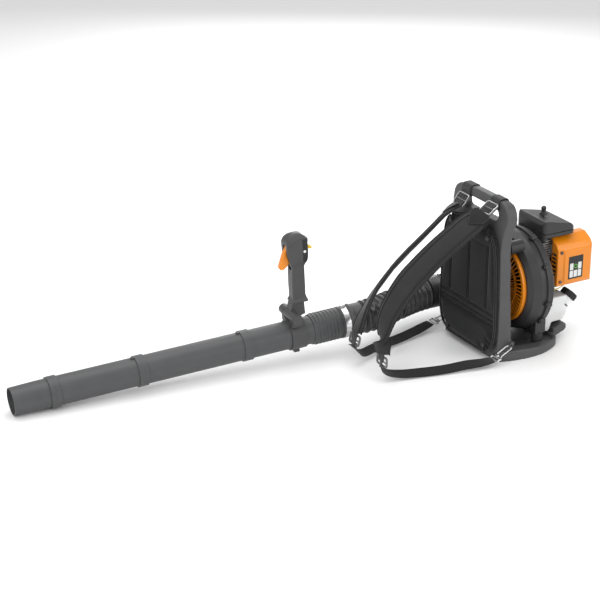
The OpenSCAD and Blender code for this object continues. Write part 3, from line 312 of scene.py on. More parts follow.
def milkyTank(name):
    finish = Finish(name)
    broad, fine = finish.noise(0.05, 3), finish.noise(0.0012, 2)
    rounded = finish.rounding(0.003)
    height = finish.parts(finish.place)[2]
    filled = ((0.082 - height) * 90).clipped()  # the fuel inside shades the lower part
    colour = finish.mixed(broad, (0.80, 0.81, 0.80), (0.92, 0.925, 0.915))
    finish.set("Base Color", finish.mixed(filled * 0.3, colour, (0.66, 0.665, 0.63)))
    finish.set("Roughness", (fine - 0.5) * 0.1 + 0.36)
    finish.relief(fine + broad * 2, 0.00012, rounded)
    finish.shader.inputs["Subsurface Weight"].default_value = 0.35
    finish.shader.inputs["Subsurface Radius"].default_value = (0.012, 0.012, 0.011)
    finish.shader.inputs["Subsurface Scale"].default_value = 1
    return finish.material


def paperFoam(name, tone):
    finish = Finish(name)
    pleats = finish.parts(finish.place)[0].wave(0.006)
    finish.set("Base Color", finish.mixed(finish.cells(0.0022), shaded(tone, 0.6), shaded(tone, 1.2)))
    finish.set("Roughness", finish.noise(0.01) * 0.1 + 0.85)
    finish.relief(pleats + finish.cells(0.002), 0.0008)
    return finish.material


tones = {
    "charcoal": (0.052, 0.052, 0.053), "slate": (0.064, 0.064, 0.066),
    "soot": (0.026, 0.026, 0.027), "pipe": (0.062, 0.063, 0.065),
    "orange": (0.74, 0.225, 0.003), "yellow": (0.85, 0.55, 0.03), "black": (0.012, 0.012, 0.013),
    "strap": (0.019, 0.019, 0.0195), "webbing": (0.009, 0.009, 0.0095), "steel": (0.72, 0.72, 0.73),
    "alloy": (0.55, 0.555, 0.56),
}
darkPlastic = moulded("darkPlastic", tones["charcoal"], 0.46)
housingPlastic = moulded("housingPlastic", tones["soot"], 0.42)
pipePlastic = moulded("pipePlastic", tones["pipe"], 0.44, 0.0012, 0.35)
framePlastic = moulded("framePlastic", tones["slate"], 0.5, 0.001, 0.45, radius=0.003)

def dotted(a, b):
    return sum(p * q for p, q in zip(a, b))


# The handle's head: a cap line, the line between its halves, a black switch panel and a pale button mark.
handleMarks = {"clamp": (-0.15618, -0.49213, 0.08410), "forward": (-0.08702, -0.99464, -0.05582),
               "up": (-0.00487, -0.05561, 0.99844), "left": (0.99619, -0.08716, 0), "panelBack": -0.0285,
               "panelLow": 0.214, "panelHigh": 0.280, "capLine": 0.271, "capSlope": 0.43, "seam": 0.0011,
               "button": (-0.0345, 0.245, 0.0040), "sharp": 2500}


def handleColour(finish, colour):
    marks = handleMarks

    def distance(way):
        offset = dotted(marks["clamp"], marks[way])
        x, y, z = finish.parts(finish.place)
        return x * marks[way][0] + y * marks[way][1] + z * marks[way][2] - offset

    forward, high, left = distance("forward"), distance("up"), distance("left")
    offLine = (high + forward * marks["capSlope"] - marks["capLine"]).sum("ABSOLUTE")
    cap = (1 - offLine / marks["seam"]).clipped()
    halves = (1 - left.sum("ABSOLUTE") / (marks["seam"] * 0.6)).clipped() * 0.7
    colour = finish.mixed(cap.sum("MAXIMUM", halves) * 0.8, colour, tones["black"])
    sharp = marks["sharp"]
    panel = ((marks["panelBack"] - forward) * sharp).clipped()
    panel = panel * ((high - marks["panelLow"]) * sharp).clipped()
    panel = panel * ((marks["panelHigh"] - high) * sharp).clipped()
    colour = finish.mixed(panel, colour, shaded(tones["black"], 0.8))
    at, rise, radius = marks["button"]
    off = ((forward - at) * (forward - at) + (high - rise) * (high - rise)).sum("SQRT")
    button = ((radius - off) * sharp).clipped() * (left * sharp).clipped()
    return finish.mixed(button, colour, (0.75, 0.75, 0.73))


handlePlastic = moulded("handlePlastic", tones["charcoal"], 0.42, marks=handleColour)
blackPlastic = moulded("blackPlastic", tones["black"], 0.36, wear=0.15)
orangePlastic = moulded("orangePlastic", tones["orange"], 0.33, 0.0012, 0.2, 0.05, 0.002, 0.25)
yellowPlastic = moulded("yellowPlastic", tones["yellow"], 0.36, 0.0012, 0.2, 0.05, 0.001, 0.2)
steelFinish = metal("steelFinish", tones["steel"])
alloyFinish = castAlloy("alloyFinish", tones["alloy"])
darkAlloy = castAlloy("darkAlloy", (0.16, 0.16, 0.165))
darkSteel = metal("darkSteel", (0.11, 0.11, 0.115), 0.4)
rubberFinish = softRubber("rubberFinish", (0.02, 0.02, 0.021), 0.6)
hoseRubber = softRubber("hoseRubber", (0.026, 0.026, 0.027), 0.3)
webbingFinish = webbingWeave("webbingFinish", tones["webbing"])
padFabric = fabric("padFabric", (0.0055, 0.0055, 0.006), 0.0022, 0.9, 0.12)
strapFabric = fabric("strapFabric", tones["strap"], 0.0017, 0.84, 0.2)
bindingFabric = fabric("bindingFabric", (0.005, 0.005, 0.0055), 0.0012, 0.8, 0.2)
threadFinish = fabric("threadFinish", (0.05, 0.05, 0.052), 0.0006, 0.7, 0.3)
tankFinish = milkyTank("tankFinish")
foamFinish = paperFoam("foamFinish", (0.10, 0.10, 0.11))
lineFinish = softRubber("lineFinish", (0.80, 0.62, 0.10), 0.3)
print("finishes made")

nodeFinishes = {
    framePlastic: "frame",
    housingPlastic: "housing_front housing_rear crankcase filter_base filter_cover filter_knob "
    "starter_housing starter_pulley elbow pad_rivets",
    darkPlastic: "handle_clamp clamp_knob handle_bracket handle_left handle_right stop_switch hose_ring "
    "front_cuff",
    pipePlastic: "upper_tube middle_tube lower_tube nozzle",
    orangePlastic: "engine_cover intake_guard throttle_trigger",
    yellowPlastic: "cruise_lever",
    steelFinish: "snap_hooks gate_left gate_right rear_hose_clamp front_hose_clamp crankshaft spark_plug",
    alloyFinish: "cylinder piston connecting_rod carburettor flywheel",
    darkAlloy: "muffler", darkSteel: "screws",
    blackPlastic: "fuel_cap ignition_coil buckles info_label impeller",
    rubberFinish: "rubber_mounts plug_cap tank_grommet primer_bulb",
    hoseRubber: "rear_bellows front_bellows",
    padFabric: "back_pad", strapFabric: "strap_left strap_right", webbingFinish: "bar_loops lower_webbing",
    tankFinish: "fuel_tank", foamFinish: "filter_element", lineFinish: "fuel_lines",
}
for finish, names in nodeFinishes.items():
    for name in names.split():
        for slot in frame["nodes"][name].material_slots:
            slot.link = "OBJECT"
            slot.material = finish

# Modelling helpers


def placePiece(name, bm, finish, body, stands=(), crease=38):
    bmesh.ops.remove_doubles(bm, verts=bm.verts, dist=0.000002)
    mesh = bpy.data.meshes.new(name)
    bm.to_mesh(mesh)
    bm.free()
    mesh.shade_smooth()
    mesh.set_sharp_from_angle(angle=math.radians(crease))
    mesh.materials.append(finish)
    piece = bpy.data.objects.new(name, mesh)
    bpy.context.scene.collection.objects.link(piece)
    if stands:
        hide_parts(*stands)
    if body:
        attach(piece, body)
    return piece


def subdivided(piece, levels=1):
    modifier = piece.modifiers.new("subdivision", "SUBSURF")
    modifier.levels = modifier.render_levels = levels
    return piece


def millimetres(points):
    return [Vector(p) / 1000 for p in points]


def curveThrough(points, steps):  # a smooth line through every point
    last, line = len(points) - 1, []
    for i in range(last):
        a, b = points[max(i - 1, 0)], points[i]
        c, d = points[i + 1], points[min(i + 2, last)]
        for k in range(steps):
            t = k / steps
            line.append(0.5 * (2 * b + (c - a) * t + (2 * a - 5 * b + 4 * c - d) * t ** 2
                               + (3 * b - a - 3 * c + d) * t ** 3))
    return line + [points[last].copy()]


def between(values, place):  # reads a value off a list, at a share of its length
    spot = place * (len(values) - 1)
    low = min(int(spot), len(values) - 2)
    return values[low] + (values[low + 1] - values[low]) * (spot - low)


def headings(line, closed=False):
    count, found = len(line), []
    for i in range(count):
        before = line[(i - 1) % count] if closed else line[max(i - 1, 0)]
        after = line[(i + 1) % count] if closed else line[min(i + 1, count - 1)]
        found.append((after - before).normalized())
    return found


def carriedSides(line, start, closed=False):
    side, sides = Vector(start), []
    for heading in headings(line, closed):
        side = (side - heading * side.dot(heading)).normalized()
        sides.append(side)
    return sides


def bandSides(line, rolls):  # the width direction of a flat band that leans by each roll
    sides = []
    for i, heading in enumerate(headings(line)):
        across = Vector((0, 0, 1)).cross(heading).normalized()
        up = heading.cross(across)
        roll = math.radians(between(rolls, i / (len(line) - 1)))
        sides.append(across * math.cos(roll) + up * math.sin(roll))
    return sides


def skinAlong(bm, line, sides, profileAt, looped=False, capped=True):
    # Extrudes a closed profile ring by ring along the line; UVs run round and along it in metres.
    mark = bm.verts.layers.int.get("mark") or bm.verts.layers.int.new("mark")
    uvLayer = bm.loops.layers.uv.get("UVMap") or bm.loops.layers.uv.new("UVMap")
    directions = headings(line, looped)
    rings, lengths = [], [0]
    for i, centre in enumerate(line):
        up = directions[i].cross(sides[i])
        rings.append([centre + sides[i] * a + up * b for a, b in profileAt(i / max(len(line) - 1, 1))])
        if i:
            lengths.append(lengths[-1] + (line[i] - line[i - 1]).length)
    count = len(rings[0])
    first = [bm.verts.new(p) for p in rings[0]]
    for j, vert in enumerate(first):
        vert[mark] = j
    edges = [bm.edges.new((first[j], first[(j + 1) % count])) for j in range(count)]
    startEdges, current = edges, first
    girth = [0]
    for j in range(count):
        girth.append(girth[-1] + (rings[0][j] - rings[0][(j + 1) % count]).length)

    def paint(face, low, high):
        for loop in face.loops:
            j = loop.vert[mark]
            wraps = any(other.vert[mark] == count - 1 for other in face.loops) and j == 0
            loop[uvLayer].uv = (girth[count] if wraps else girth[j], high if loop.vert in fresh else low)

    for i in range(1, len(rings)):
        made = bmesh.ops.extrude_edge_only(bm, edges=edges)["geom"]
        fresh = {item for item in made if isinstance(item, bmesh.types.BMVert)}
        edges = [item for item in made if isinstance(item, bmesh.types.BMEdge)
                 and all(v in fresh for v in item.verts)]
        for vert in fresh:
            vert.co = rings[i][vert[mark]]
        for face in [item for item in made if isinstance(item, bmesh.types.BMFace)]:
            paint(face, lengths[i - 1], lengths[i])
        current = sorted(fresh, key=lambda v: v[mark])
    if looped:
        bmesh.ops.bridge_loops(bm, edges=edges + startEdges)
    elif capped:
        bm.faces.new(first)
        bm.faces.new(current)
    bmesh.ops.recalc_face_normals(bm, faces=bm.faces)
    return current


def discProfile(radius, sides=12):
    ring = [(radius * math.cos(2 * math.pi * k / sides), radius * math.sin(2 * math.pi * k / sides))
            for k in range(sides)]
    return lambda share: ring


def tubeAlong(bm, line, radius, sides=12, start=(1, 0, 0), looped=False):
    skinAlong(bm, line, carriedSides(line, start, looped), discProfile(radius, sides), looped)


def flatProfile(width, thickness):
    a, b = width / 2, thickness / 2
    ring = [(a, 0), (a - b * 0.4, b * 0.9), (a - b * 1.6, b)]
    ring += [(x * a, b) for x in (0.75, 0.45, 0.15, -0.15, -0.45, -0.75)]
    ring += [(b * 1.6 - a, b), (b * 0.4 - a, b * 0.9), (-a, 0)]
    ring += [(-x, -y) for x, y in ring[1:-1]]
    return ring


def stitches(bm, line, length=0.0036, gap=0.0022, radius=0.00055):
    travelled, due = 0.0, 0.0
    for a, b in zip(line, line[1:]):
        step = b - a
        while due < travelled + step.length:
            centre = a + step * ((due - travelled) / step.length)
            heading = step.normalized().to_track_quat("Z", "Y").to_matrix().to_4x4()
            size = Matrix.Diagonal((radius, radius, length / 2, 1))
            bmesh.ops.create_icosphere(bm, subdivisions=1, radius=1,
                                       matrix=Matrix.Translation(centre) @ heading @ size)
            due += length + gap
        travelled += step.length


def inflated(piece, pinned, pressure, frames, cap):
    # Cloth under pressure, held at its pinned points, then capped and kept as the mesh.
    mesh = piece.data
    before = [v.co.copy() for v in mesh.vertices]
    group = piece.vertex_groups.new(name="seams")
    held = [v.index for v in mesh.vertices if pinned(v.co)]
    group.add(held, 1, "REPLACE")
    cloth = piece.modifiers.new("cloth", "CLOTH")
    cloth.settings.use_pressure = True
    cloth.settings.uniform_pressure_force = pressure
    cloth.settings.effector_weights.gravity = 0
    cloth.settings.vertex_group_mass = "seams"
    cloth.settings.quality = 5
    cloth.settings.tension_stiffness = 12
    cloth.settings.bending_stiffness = 0.6
    cloth.point_cache.frame_start, cloth.point_cache.frame_end = 1, frames
    scene = bpy.context.scene
    for number in range(1, frames + 1):
        scene.frame_set(number)
    held = piece.evaluated_get(bpy.context.evaluated_depsgraph_get())
    after = [v.co.copy() for v in held.data.vertices]
    piece.modifiers.remove(cloth)
    piece.vertex_groups.remove(group)
    for vert, old, new in zip(mesh.vertices, before, after):
        shift = new - old
        vert.co = old + shift * min(1, cap / max(shift.length, 1e-9))
    scene.frame_set(1)
    return piece


# The back pad: quilted between its channels, bound all round

padSizes = {"voxel": 0.0042, "puff": 5.0, "cap": 0.006, "channelDepth": 0.0042, "channelWidth": 0.0032,
            "edgeBinding": 0.0034, "pipingInset": 0.985, "pipingLevel": 0.2022, "pipingDepth": 0.0045}
padLow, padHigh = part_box("back_pad")
padFront, padBack = padLow.y, padHigh.y


def padChannels():
    top, bottom, middle = padHigh.z, padLow.z, 0.1345
    lines = [[(x, z) for z in (middle + 0.016, top - 0.055)] for x in (-0.086, 0.001, 0.088)]
    for offset in (-0.009, 0.009):
        lines.append([(-0.130, middle + offset), (0.130, middle + offset)])
    lines.append([(x, middle - 0.022) for x in (-0.124, 0.124)])
    return lines


def nearChannel(point):  # distance from the nearest sewn channel
    closest = 1.0
    for (x1, z1), (x2, z2) in padChannels():
        dx, dz = x2 - x1, z2 - z1
        t = max(0, min(1, ((point.x - x1) * dx + (point.z - z1) * dz) / (dx * dx + dz * dz)))
        closest = min(closest, math.hypot(point.x - x1 - t * dx, point.z - z1 - t * dz))
    return closest


def padOutline():
    bm = bmesh.new()
    bm.from_mesh(frame["nodes"]["back_pad"].data)
    bmesh.ops.remove_doubles(bm, verts=bm.verts, dist=0.00001)
    middle = (padLow + padHigh) / 2
    angles = {}
    for vert in bm.verts:
        if abs(vert.co.y - padFront) < 0.0005:
            spot = vert.co - middle
            if spot.length > 0.1:
                angles[round(math.atan2(spot.z, spot.x), 3)] = vert.co.copy()
    bm.free()
    return [angles[a] for a in sorted(angles)]


def backPad():
    bm = bmesh.new()
    bm.from_mesh(frame["nodes"]["back_pad"].data)
    bmesh.ops.remove_doubles(bm, verts=bm.verts, dist=0.00001)
    # The rivets' holes are closed, because the cover runs over them.
    holes = [v for v in bm.verts if any(math.hypot(v.co.x - x, v.co.z - z) < 0.0045
                                        for x in (-0.088, 0.088) for z in (0.041, 0.357))]
    bmesh.ops.delete(bm, geom=holes, context="VERTS")
    bmesh.ops.holes_fill(bm, edges=[e for e in bm.edges if e.is_boundary])
    bmesh.ops.scale(bm, vec=(0.985, 0.80, 0.985), verts=bm.verts,
                    space=Matrix.Translation(-Vector((0, padBack, (padLow.z + padHigh.z) / 2))))
    pad = placePiece("backPad", bm, padFabric, None)
    remesh = pad.modifiers.new("remesh", "REMESH")
    remesh.mode, remesh.voxel_size = "VOXEL", padSizes["voxel"]
    held = pad.evaluated_get(bpy.context.evaluated_depsgraph_get())
    mesh = bpy.data.meshes.new_from_object(held)
    pad.modifiers.remove(remesh)
    pad.data = mesh
    inflated(pad, lambda p: p.y > padBack - 0.004 or nearChannel(p) < 0.0045, padSizes["puff"], 20,
             padSizes["cap"])
    bm = bmesh.new()
    bm.from_mesh(pad.data)
    bmesh.ops.smooth_vert(bm, verts=bm.verts, factor=0.5, use_axis_x=True, use_axis_y=True, use_axis_z=True)
    bmesh.ops.subdivide_edges(bm, edges=bm.edges, cuts=1, use_grid_fill=True, smooth=0.6)
    for vert in bm.verts:
        if vert.co.y < padBack - 0.006:
            dip = math.exp(-(nearChannel(vert.co) / padSizes["channelWidth"]) ** 2)
            vert.co.y += padSizes["channelDepth"] * dip
        vert.co.y = max(vert.co.y, padFront - 0.004)
    bm.to_mesh(pad.data)
    bm.free()
    pad.data.shade_smooth()
    pad.data.materials.clear()
    pad.data.materials.append(padFabric)
    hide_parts("back_pad")
    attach(pad, "backpack")
    # A piping round the front edge, and thread along the channels.
    inset, level, sunk = padSizes["pipingInset"], padSizes["pipingLevel"], padSizes["pipingDepth"]
    outline = [Vector((p.x * inset, padFront + sunk, (p.z - level) * inset + level)) for p in padOutline()]
    bm = bmesh.new()
    tubeAlong(bm, outline, padSizes["edgeBinding"], 10, (0, 1, 0), looped=True)
    placePiece("padPiping", bm, bindingFabric, "backpack")
    bm = bmesh.new()
    surface = padFront + 0.0042
    for (x1, z1), (x2, z2) in padChannels():
        stitches(bm, [Vector((x1, surface, z1)), Vector((x2, surface, z2))])
    placePiece("padStitching", bm, threadFinish, "backpack")


backPad()
print("back pad made")

# Shoulder straps: a padded body between bound edges, with a sewn webbing strip

strapSizes = {"thickness": 0.0128, "binding": 0.0026, "seam": 0.70, "cap": 0.0028,
              "cord": 0.0017}
straps = {
    "strap_left": {"lean": 1, "width": 0.068, "rolls": [-20, -34, -40, -42, -42, -40, -32, -20, -10, 0],
                   "shares": [0.8, 1, 1, 1, 1, 1, 0.96, 0.9, 0.74, 0.62],
                   "path": [[70, -30, 423], [74, -80, 404], [76, -130, 377], [76, -180, 346], [76, -230, 310],
                            [76, -275, 273], [75, -315, 225], [74, -340, 180], [73, -350, 130],
                            [71, -348, 80]]},
    "strap_right": {"lean": -1, "width": 0.068, "rolls": [-20, -34, -40, -42, -42, -40, -32, -20, -10],
                    "shares": [0.8, 1, 1, 1, 1, 1, 0.96, 0.9, 0.74],
                    "path": [[-66, -24, 404], [-67, -71, 381], [-66, -129, 338], [-64, -185, 300],
                             [-61, -240, 258], [-57, -288, 212], [-53, -322, 168], [-50, -344, 130],
                             [-48, -358, 100]]},
}


def strapProfile(width):
    half, full = width / 2, strapSizes["thickness"] / 2
    rim, seam = strapSizes["binding"] / 2, strapSizes["seam"]
    top = [(1.0, 0), (0.985, rim), (0.93, rim * 1.25), (0.87, rim * 1.1), (0.84, full * 0.42),
           (0.80, full * 0.62), (seam + 0.03, full * 0.72), (seam, full * 0.56), (seam - 0.04, full * 0.74),
           (0.55, full * 0.88), (0.42, full * 0.96), (0.28, full), (0.14, full), (0.0, full)]
    ring = [(x * half, y) for x, y in top]
    ring += [(-x, y) for x, y in ring[-2::-1]]
    return ring + [(x, -y * 0.9) for x, y in ring[-2:0:-1]]


def shoulderStrap(node, sizes):
    line = curveThrough(millimetres(sizes["path"]), 12)
    sides = bandSides(line, [sizes["lean"] * roll for roll in sizes["rolls"]])
    bm = bmesh.new()
    skinAlong(bm, line, sides, lambda share: strapProfile(sizes["width"] * between(sizes["shares"], share)))
    strap = placePiece(node + "_pad", bm, strapFabric, None, crease=80)
    directions = headings(line)

    def heldDown(point):
        nearest = min(range(len(line)), key=lambda i: (line[i] - point).length_squared)
        half = sizes["width"] * between(sizes["shares"], nearest / (len(line) - 1)) / 2
        across = abs((point - line[nearest]).dot(sides[nearest])) / half
        atEnd = nearest < 2 or nearest > len(line) - 3
        return across > 0.82 or abs(across - strapSizes["seam"]) < 0.02 or atEnd

    inflated(strap, heldDown, 4.0, 14, strapSizes["cap"])
    subdivided(strap)
    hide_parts(node)
    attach(strap, "backpack")
    # Stitches run inside each bound edge and along the two seams, on the outer face.
    bm = bmesh.new()
    bound = bmesh.new()
    for side in (-1, 1):
        for across, lift in ((0.93, 0.0017), (strapSizes["seam"], 0.0040)):
            run = []
            for i, centre in enumerate(line):
                half = sizes["width"] * between(sizes["shares"], i / (len(line) - 1)) / 2
                up = directions[i].cross(sides[i])
                run.append(centre + sides[i] * (side * across * half) + up * lift)
            stitches(bm, run)
            stitches(bm, [p - 2 * directions[i].cross(sides[i]) * lift for i, p in enumerate(run)])
            if across < 0.9:
                cord = [p + directions[i].cross(sides[i]) * 0.0009 for i, p in enumerate(run)]
                tubeAlong(bound, cord, strapSizes["cord"], 8, sides[0])
        edge = []
        for i, centre in enumerate(line):
            half = sizes["width"] * between(sizes["shares"], i / (len(line) - 1)) / 2
            edge.append(centre + sides[i] * (side * (half - 0.0006)))
        tubeAlong(bound, edge, 0.0021, 8, sides[0])
    placePiece(node + "_stitching", bm, threadFinish, "backpack")
    placePiece(node + "_binding", bound, bindingFabric, "backpack")
    return line, sides


strapLines = {node: shoulderStrap(node, sizes) for node, sizes in straps.items()}
print("straps made")
# Webbing: bar loops, upper runs with their sewn flaps, and lower runs

webSizes = {"thickness": 0.0022, "lower": 0.026, "upper": 0.040}
webRuns = {
    "lowerWebbingLeft": {"path": [[71, -350, 84], [71, -352, 62], [71, -352, 40], [78, -335, 24],
                                  [92, -298, 17],
                                  [108, -240, 15], [122, -180, 15], [134, -120, 19], [141, -70, 18],
                                  [144, -34, 20]],
                         "rolls": [0, 0, 0, 20, 40, 60, 60, 60, 35, 8]},
    "lowerWebbingRight": {"path": [[-48, -361, 104], [-48, -366, 82], [-49, -368, 61], [-53, -352, 40],
                                   [-62, -325, 25], [-84, -262, 24], [-104, -190, 19], [-122, -120, 21],
                                   [-135, -78, 23], [-143, -51, 25]],
                          "rolls": [0, 0, 0, 20, 40, 60, 60, 60, 35, 8]},
}
for name, run in webRuns.items():
    line = curveThrough(millimetres(run["path"]), 8)
    sides = bandSides(line, run["rolls"])
    bm = bmesh.new()
    skinAlong(bm, line, sides, lambda share: flatProfile(webSizes["lower"], webSizes["thickness"]))
    stands = ("lower_webbing",) if name.endswith("Left") else ()
    placePiece(name, bm, webbingFinish, "backpack", stands, 60)


def roundedLoop(corners, radius, steps=5):  # a closed line with rounded corners, in the Y-Z plane
    line, count = [], len(corners)
    for i in range(count):
        before, corner, after = (Vector(corners[(i + k) % count]) for k in (-1, 0, 1))
        reach = min(radius, (before - corner).length / 2.1, (after - corner).length / 2.1)
        start = corner + (before - corner).normalized() * reach
        end = corner + (after - corner).normalized() * reach
        for k in range(steps + 1):
            t = k / steps
            line.append(start * (1 - t) ** 2 + corner * 2 * t * (1 - t) + end * t ** 2)
    return line


def barLoops():
    corners = [(3.4, 431), (3.4, 446), (8.6, 461.6), (33.5, 461.6), (39.6, 449), (39.6, 431.5)]
    bm = bmesh.new()
    for x in (-0.067, 0.067):
        ring = roundedLoop([(x, y / 1000, z / 1000) for y, z in corners], 0.006)
        profile = flatProfile(webSizes["upper"], webSizes["thickness"])
        skinAlong(bm, ring, carriedSides(ring, (1, 0, 0), True), lambda share: profile, looped=True)
    placePiece("barLoopWebbing", bm, webbingFinish, "backpack", ("bar_loops",), 60)


barLoops()


def upperRun(name, points, widths, rolls):
    line = curveThrough(millimetres(points), 8)
    sides = bandSides(line, rolls)
    bm = bmesh.new()
    skinAlong(bm, line, sides, lambda share: flatProfile(between(widths, share), webSizes["thickness"]))
    return placePiece(name, bm, webbingFinish, "backpack", (), 60)


upperRun("upperWebbingLeft", [[67, 3, 449], [67, -4, 445], [67, -14, 438], [68, -26, 429], [70, -38, 426.5],
                              [71, -52, 422]],
         [0.036, 0.036, 0.036, 0.037, 0.038, 0.038], [0, 0, 0, -6, -16, -24])
upperRun("upperWebbingRight", [[-66, 3, 440], [-65, -4, 431], [-65, -13, 421], [-65.5, -22, 411],
                               [-66.5, -36, 406], [-67, -52, 399]],
         [0.036, 0.036, 0.036, 0.037, 0.038, 0.038], [0, 0, 0, 6, 16, 24])


def sewnFlap(name, strap, start, end, side):  # the pointed patch sewn over the top of a strap
    line, sides = strapLines[strap]
    part = line[start:end]
    directions = headings(line)
    up = [directions[i].cross(sides[i]) for i in range(start, end)]
    lifted = [p + u * 0.0086 * side for p, u in zip(part, up)]
    widths = [0.046, 0.056, 0.058, 0.058, 0.040, 0.021, 0.002]
    bm = bmesh.new()
    skinAlong(bm, lifted, sides[start:end], lambda share: flatProfile(between(widths, share), 0.0026))
    placePiece(name, bm, bindingFabric, "backpack", (), 60)
    bm = bmesh.new()
    run = []
    for j in (-1, 1):
        spots = [(p + u * 0.0017 * side, between(widths, i / (len(lifted) - 1)) / 2 - 0.003)
                 for i, (p, u) in enumerate(zip(lifted, up))]
        edge = [p + sides[start + i] * (j * max(half, 0)) for i, (p, half) in enumerate(spots)]
        run += edge if j < 0 else edge[::-1]
    stitches(bm, run)
    placePiece(name + "Stitching", bm, threadFinish, "backpack")


sewnFlap("flapLeft", "strap_left", 1, 14, 1)
sewnFlap("flapRight", "strap_right", 1, 12, 1)

# Buckles: bent wire frames with a middle bar

buckleSizes = {"width": 0.052, "wire": 0.0024, "bar": 0.0021}
buckles = {"buckleTopLeft": ((67, -14, 436), 36, 0.042), "buckleTopRight": ((-65, -13, 420), 52, 0.042),
           "buckleLowLeft": ((71, -349, 60), 88, 0.031), "buckleLowRight": ((-48, -363, 80), 76, 0.031)}


def buckle(name, centre, slope, height, stands):
    half, tall = buckleSizes["width"] / 2 - buckleSizes["wire"], height / 2 - buckleSizes["wire"]
    corners = [(half, tall, 0), (-half, tall, 0), (-half, -tall, 0), (half, -tall, 0)]
    ring = roundedLoop(corners, 0.007)
    bm = bmesh.new()
    section = [(0.0026 * math.copysign(abs(math.cos(a)) ** 0.6, math.cos(a)),
                0.0030 * math.copysign(abs(math.sin(a)) ** 0.6, math.sin(a)))
               for a in (2 * math.pi * k / 14 for k in range(14))]
    skinAlong(bm, ring, carriedSides(ring, (0, 0, 1), True), lambda share: section, looped=True)
    tubeAlong(bm, [Vector((-half, 0, 0.001)), Vector((0, 0, 0.0016)), Vector((half, 0, 0.001))],
              buckleSizes["bar"], 12, (0, 0, 1))
    place = Matrix.Translation(Vector(centre) / 1000) @ Matrix.Rotation(math.radians(slope), 4, "X")
    bmesh.ops.transform(bm, matrix=place, verts=bm.verts)
    placePiece(name, bm, buckleFinish, "backpack", stands)
    if height > 0.04:
        # A bright rim runs round the outside of each upper buckle.
        bm = bmesh.new()
        tubeAlong(bm, [p + Vector((0, 0, 0.0030)) for p in ring], 0.0010, 8, (0, 0, 1), looped=True)
        bmesh.ops.transform(bm, matrix=place, verts=bm.verts)
        placePiece(name + "Rim", bm, steelFinish, "backpack")


buckleFinish = moulded("buckleFinish", (0.10, 0.10, 0.104), 0.24, wear=0.6, coat=0.4)
for name, (centre, slope, height) in buckles.items():
    buckle(name, centre, slope, height, ("buckles",) if name == "buckleTopLeft" else ())
print("webbing made")

# The flexible hose: deep rounded ridges along one fixed curve, in two stretches

hoseSizes = {"valley": 0.0384, "crest": 0.0474, "ridges": 6, "steps": 10, "sides": 72}
tubeWay = Vector((-0.0870198, -0.9946414, -0.0558215))
tubeZero = Vector((-142, -330, 93.2)) / 1000
hoseBend = [Vector((-200, -30, 93)) / 1000, Vector((-200, -120, 93)) / 1000, tubeZero - tubeWay * 0.128,
            tubeZero - tubeWay * 0.038]


def hoseAt(t):
    a, b, c, d = hoseBend
    return a * (1 - t) ** 3 + b * 3 * t * (1 - t) ** 2 + c * 3 * t * t * (1 - t) + d * t ** 3


def hoseStretch(start, end):
    count = hoseSizes["ridges"] * hoseSizes["steps"]
    line = [hoseAt(start + (end - start) * k / count) for k in range(count + 1)]
    sides = carriedSides(line, (1, 0, 0))

    def profile(share):
        swell = 0.5 - 0.5 * math.cos(2 * math.pi * share * hoseSizes["ridges"])
        radius = hoseSizes["valley"] + (hoseSizes["crest"] - hoseSizes["valley"]) * swell ** 0.85
        ring = []
        for k in range(hoseSizes["sides"]):
            angle = 2 * math.pi * k / hoseSizes["sides"]
            ring.append((radius * math.cos(angle), radius * math.sin(angle)))
        return ring

    bm = bmesh.new()
    skinAlong(bm, line, sides, profile, capped=False)
    return bm


def rearHose():
    bm = hoseStretch(0.0, 0.475)
    bmesh.ops.solidify(bm, geom=bm.faces, thickness=0.0018)
    # The plain cuff over the elbow, with its two beads.
    turned = bmesh.new()
    spots = [(45.4, -30), (46.2, -26), (46.2, 4), (47.2, 6), (47.2, 8.4), (46.0, 9.6), (46.0, 21.6),
             (47.2, 23), (47.2, 26), (46.4, 28), (42.3, 28), (42.2, 5), (37.6, 4.6), (37.6, -30)]
    verts = [turned.verts.new((r / 1000, y / 1000, 0)) for r, y in spots]
    edges = [turned.edges.new((verts[k], verts[(k + 1) % len(verts)])) for k in range(len(verts))]
    bmesh.ops.spin(turned, geom=verts + edges, axis=(0, 1, 0), cent=(0, 0, 0), angle=2 * math.pi, steps=72,
                   use_merge=True)
    bmesh.ops.translate(turned, verts=turned.verts, vec=(-0.200, 0, 0.093))
    bmesh.ops.recalc_face_normals(turned, faces=turned.faces)
    extra = bpy.data.meshes.new("cuff")
    turned.to_mesh(extra)
    turned.free()
    bm.from_mesh(extra)
    bpy.data.meshes.remove(extra)
    hose = placePiece("rearHose", bm, hoseRubber, None, ("rear_bellows",), 40)
    hoseAt(0.0)
    hoseAt(0.475)
    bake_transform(hose)


def frontHose():
    bm = hoseStretch(0.525, 1.0)
    bmesh.ops.solidify(bm, geom=bm.faces, thickness=0.0018)
    hose = placePiece("frontHose", bm, hoseRubber, None, ("front_bellows",), 40)
    hoseAt(0.525)
    hoseAt(1.0)
    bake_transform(hose)


rearHose()
frontHose()
print("hose made")

# Moulded shells: the same solids with their edges rounded as a mould leaves them

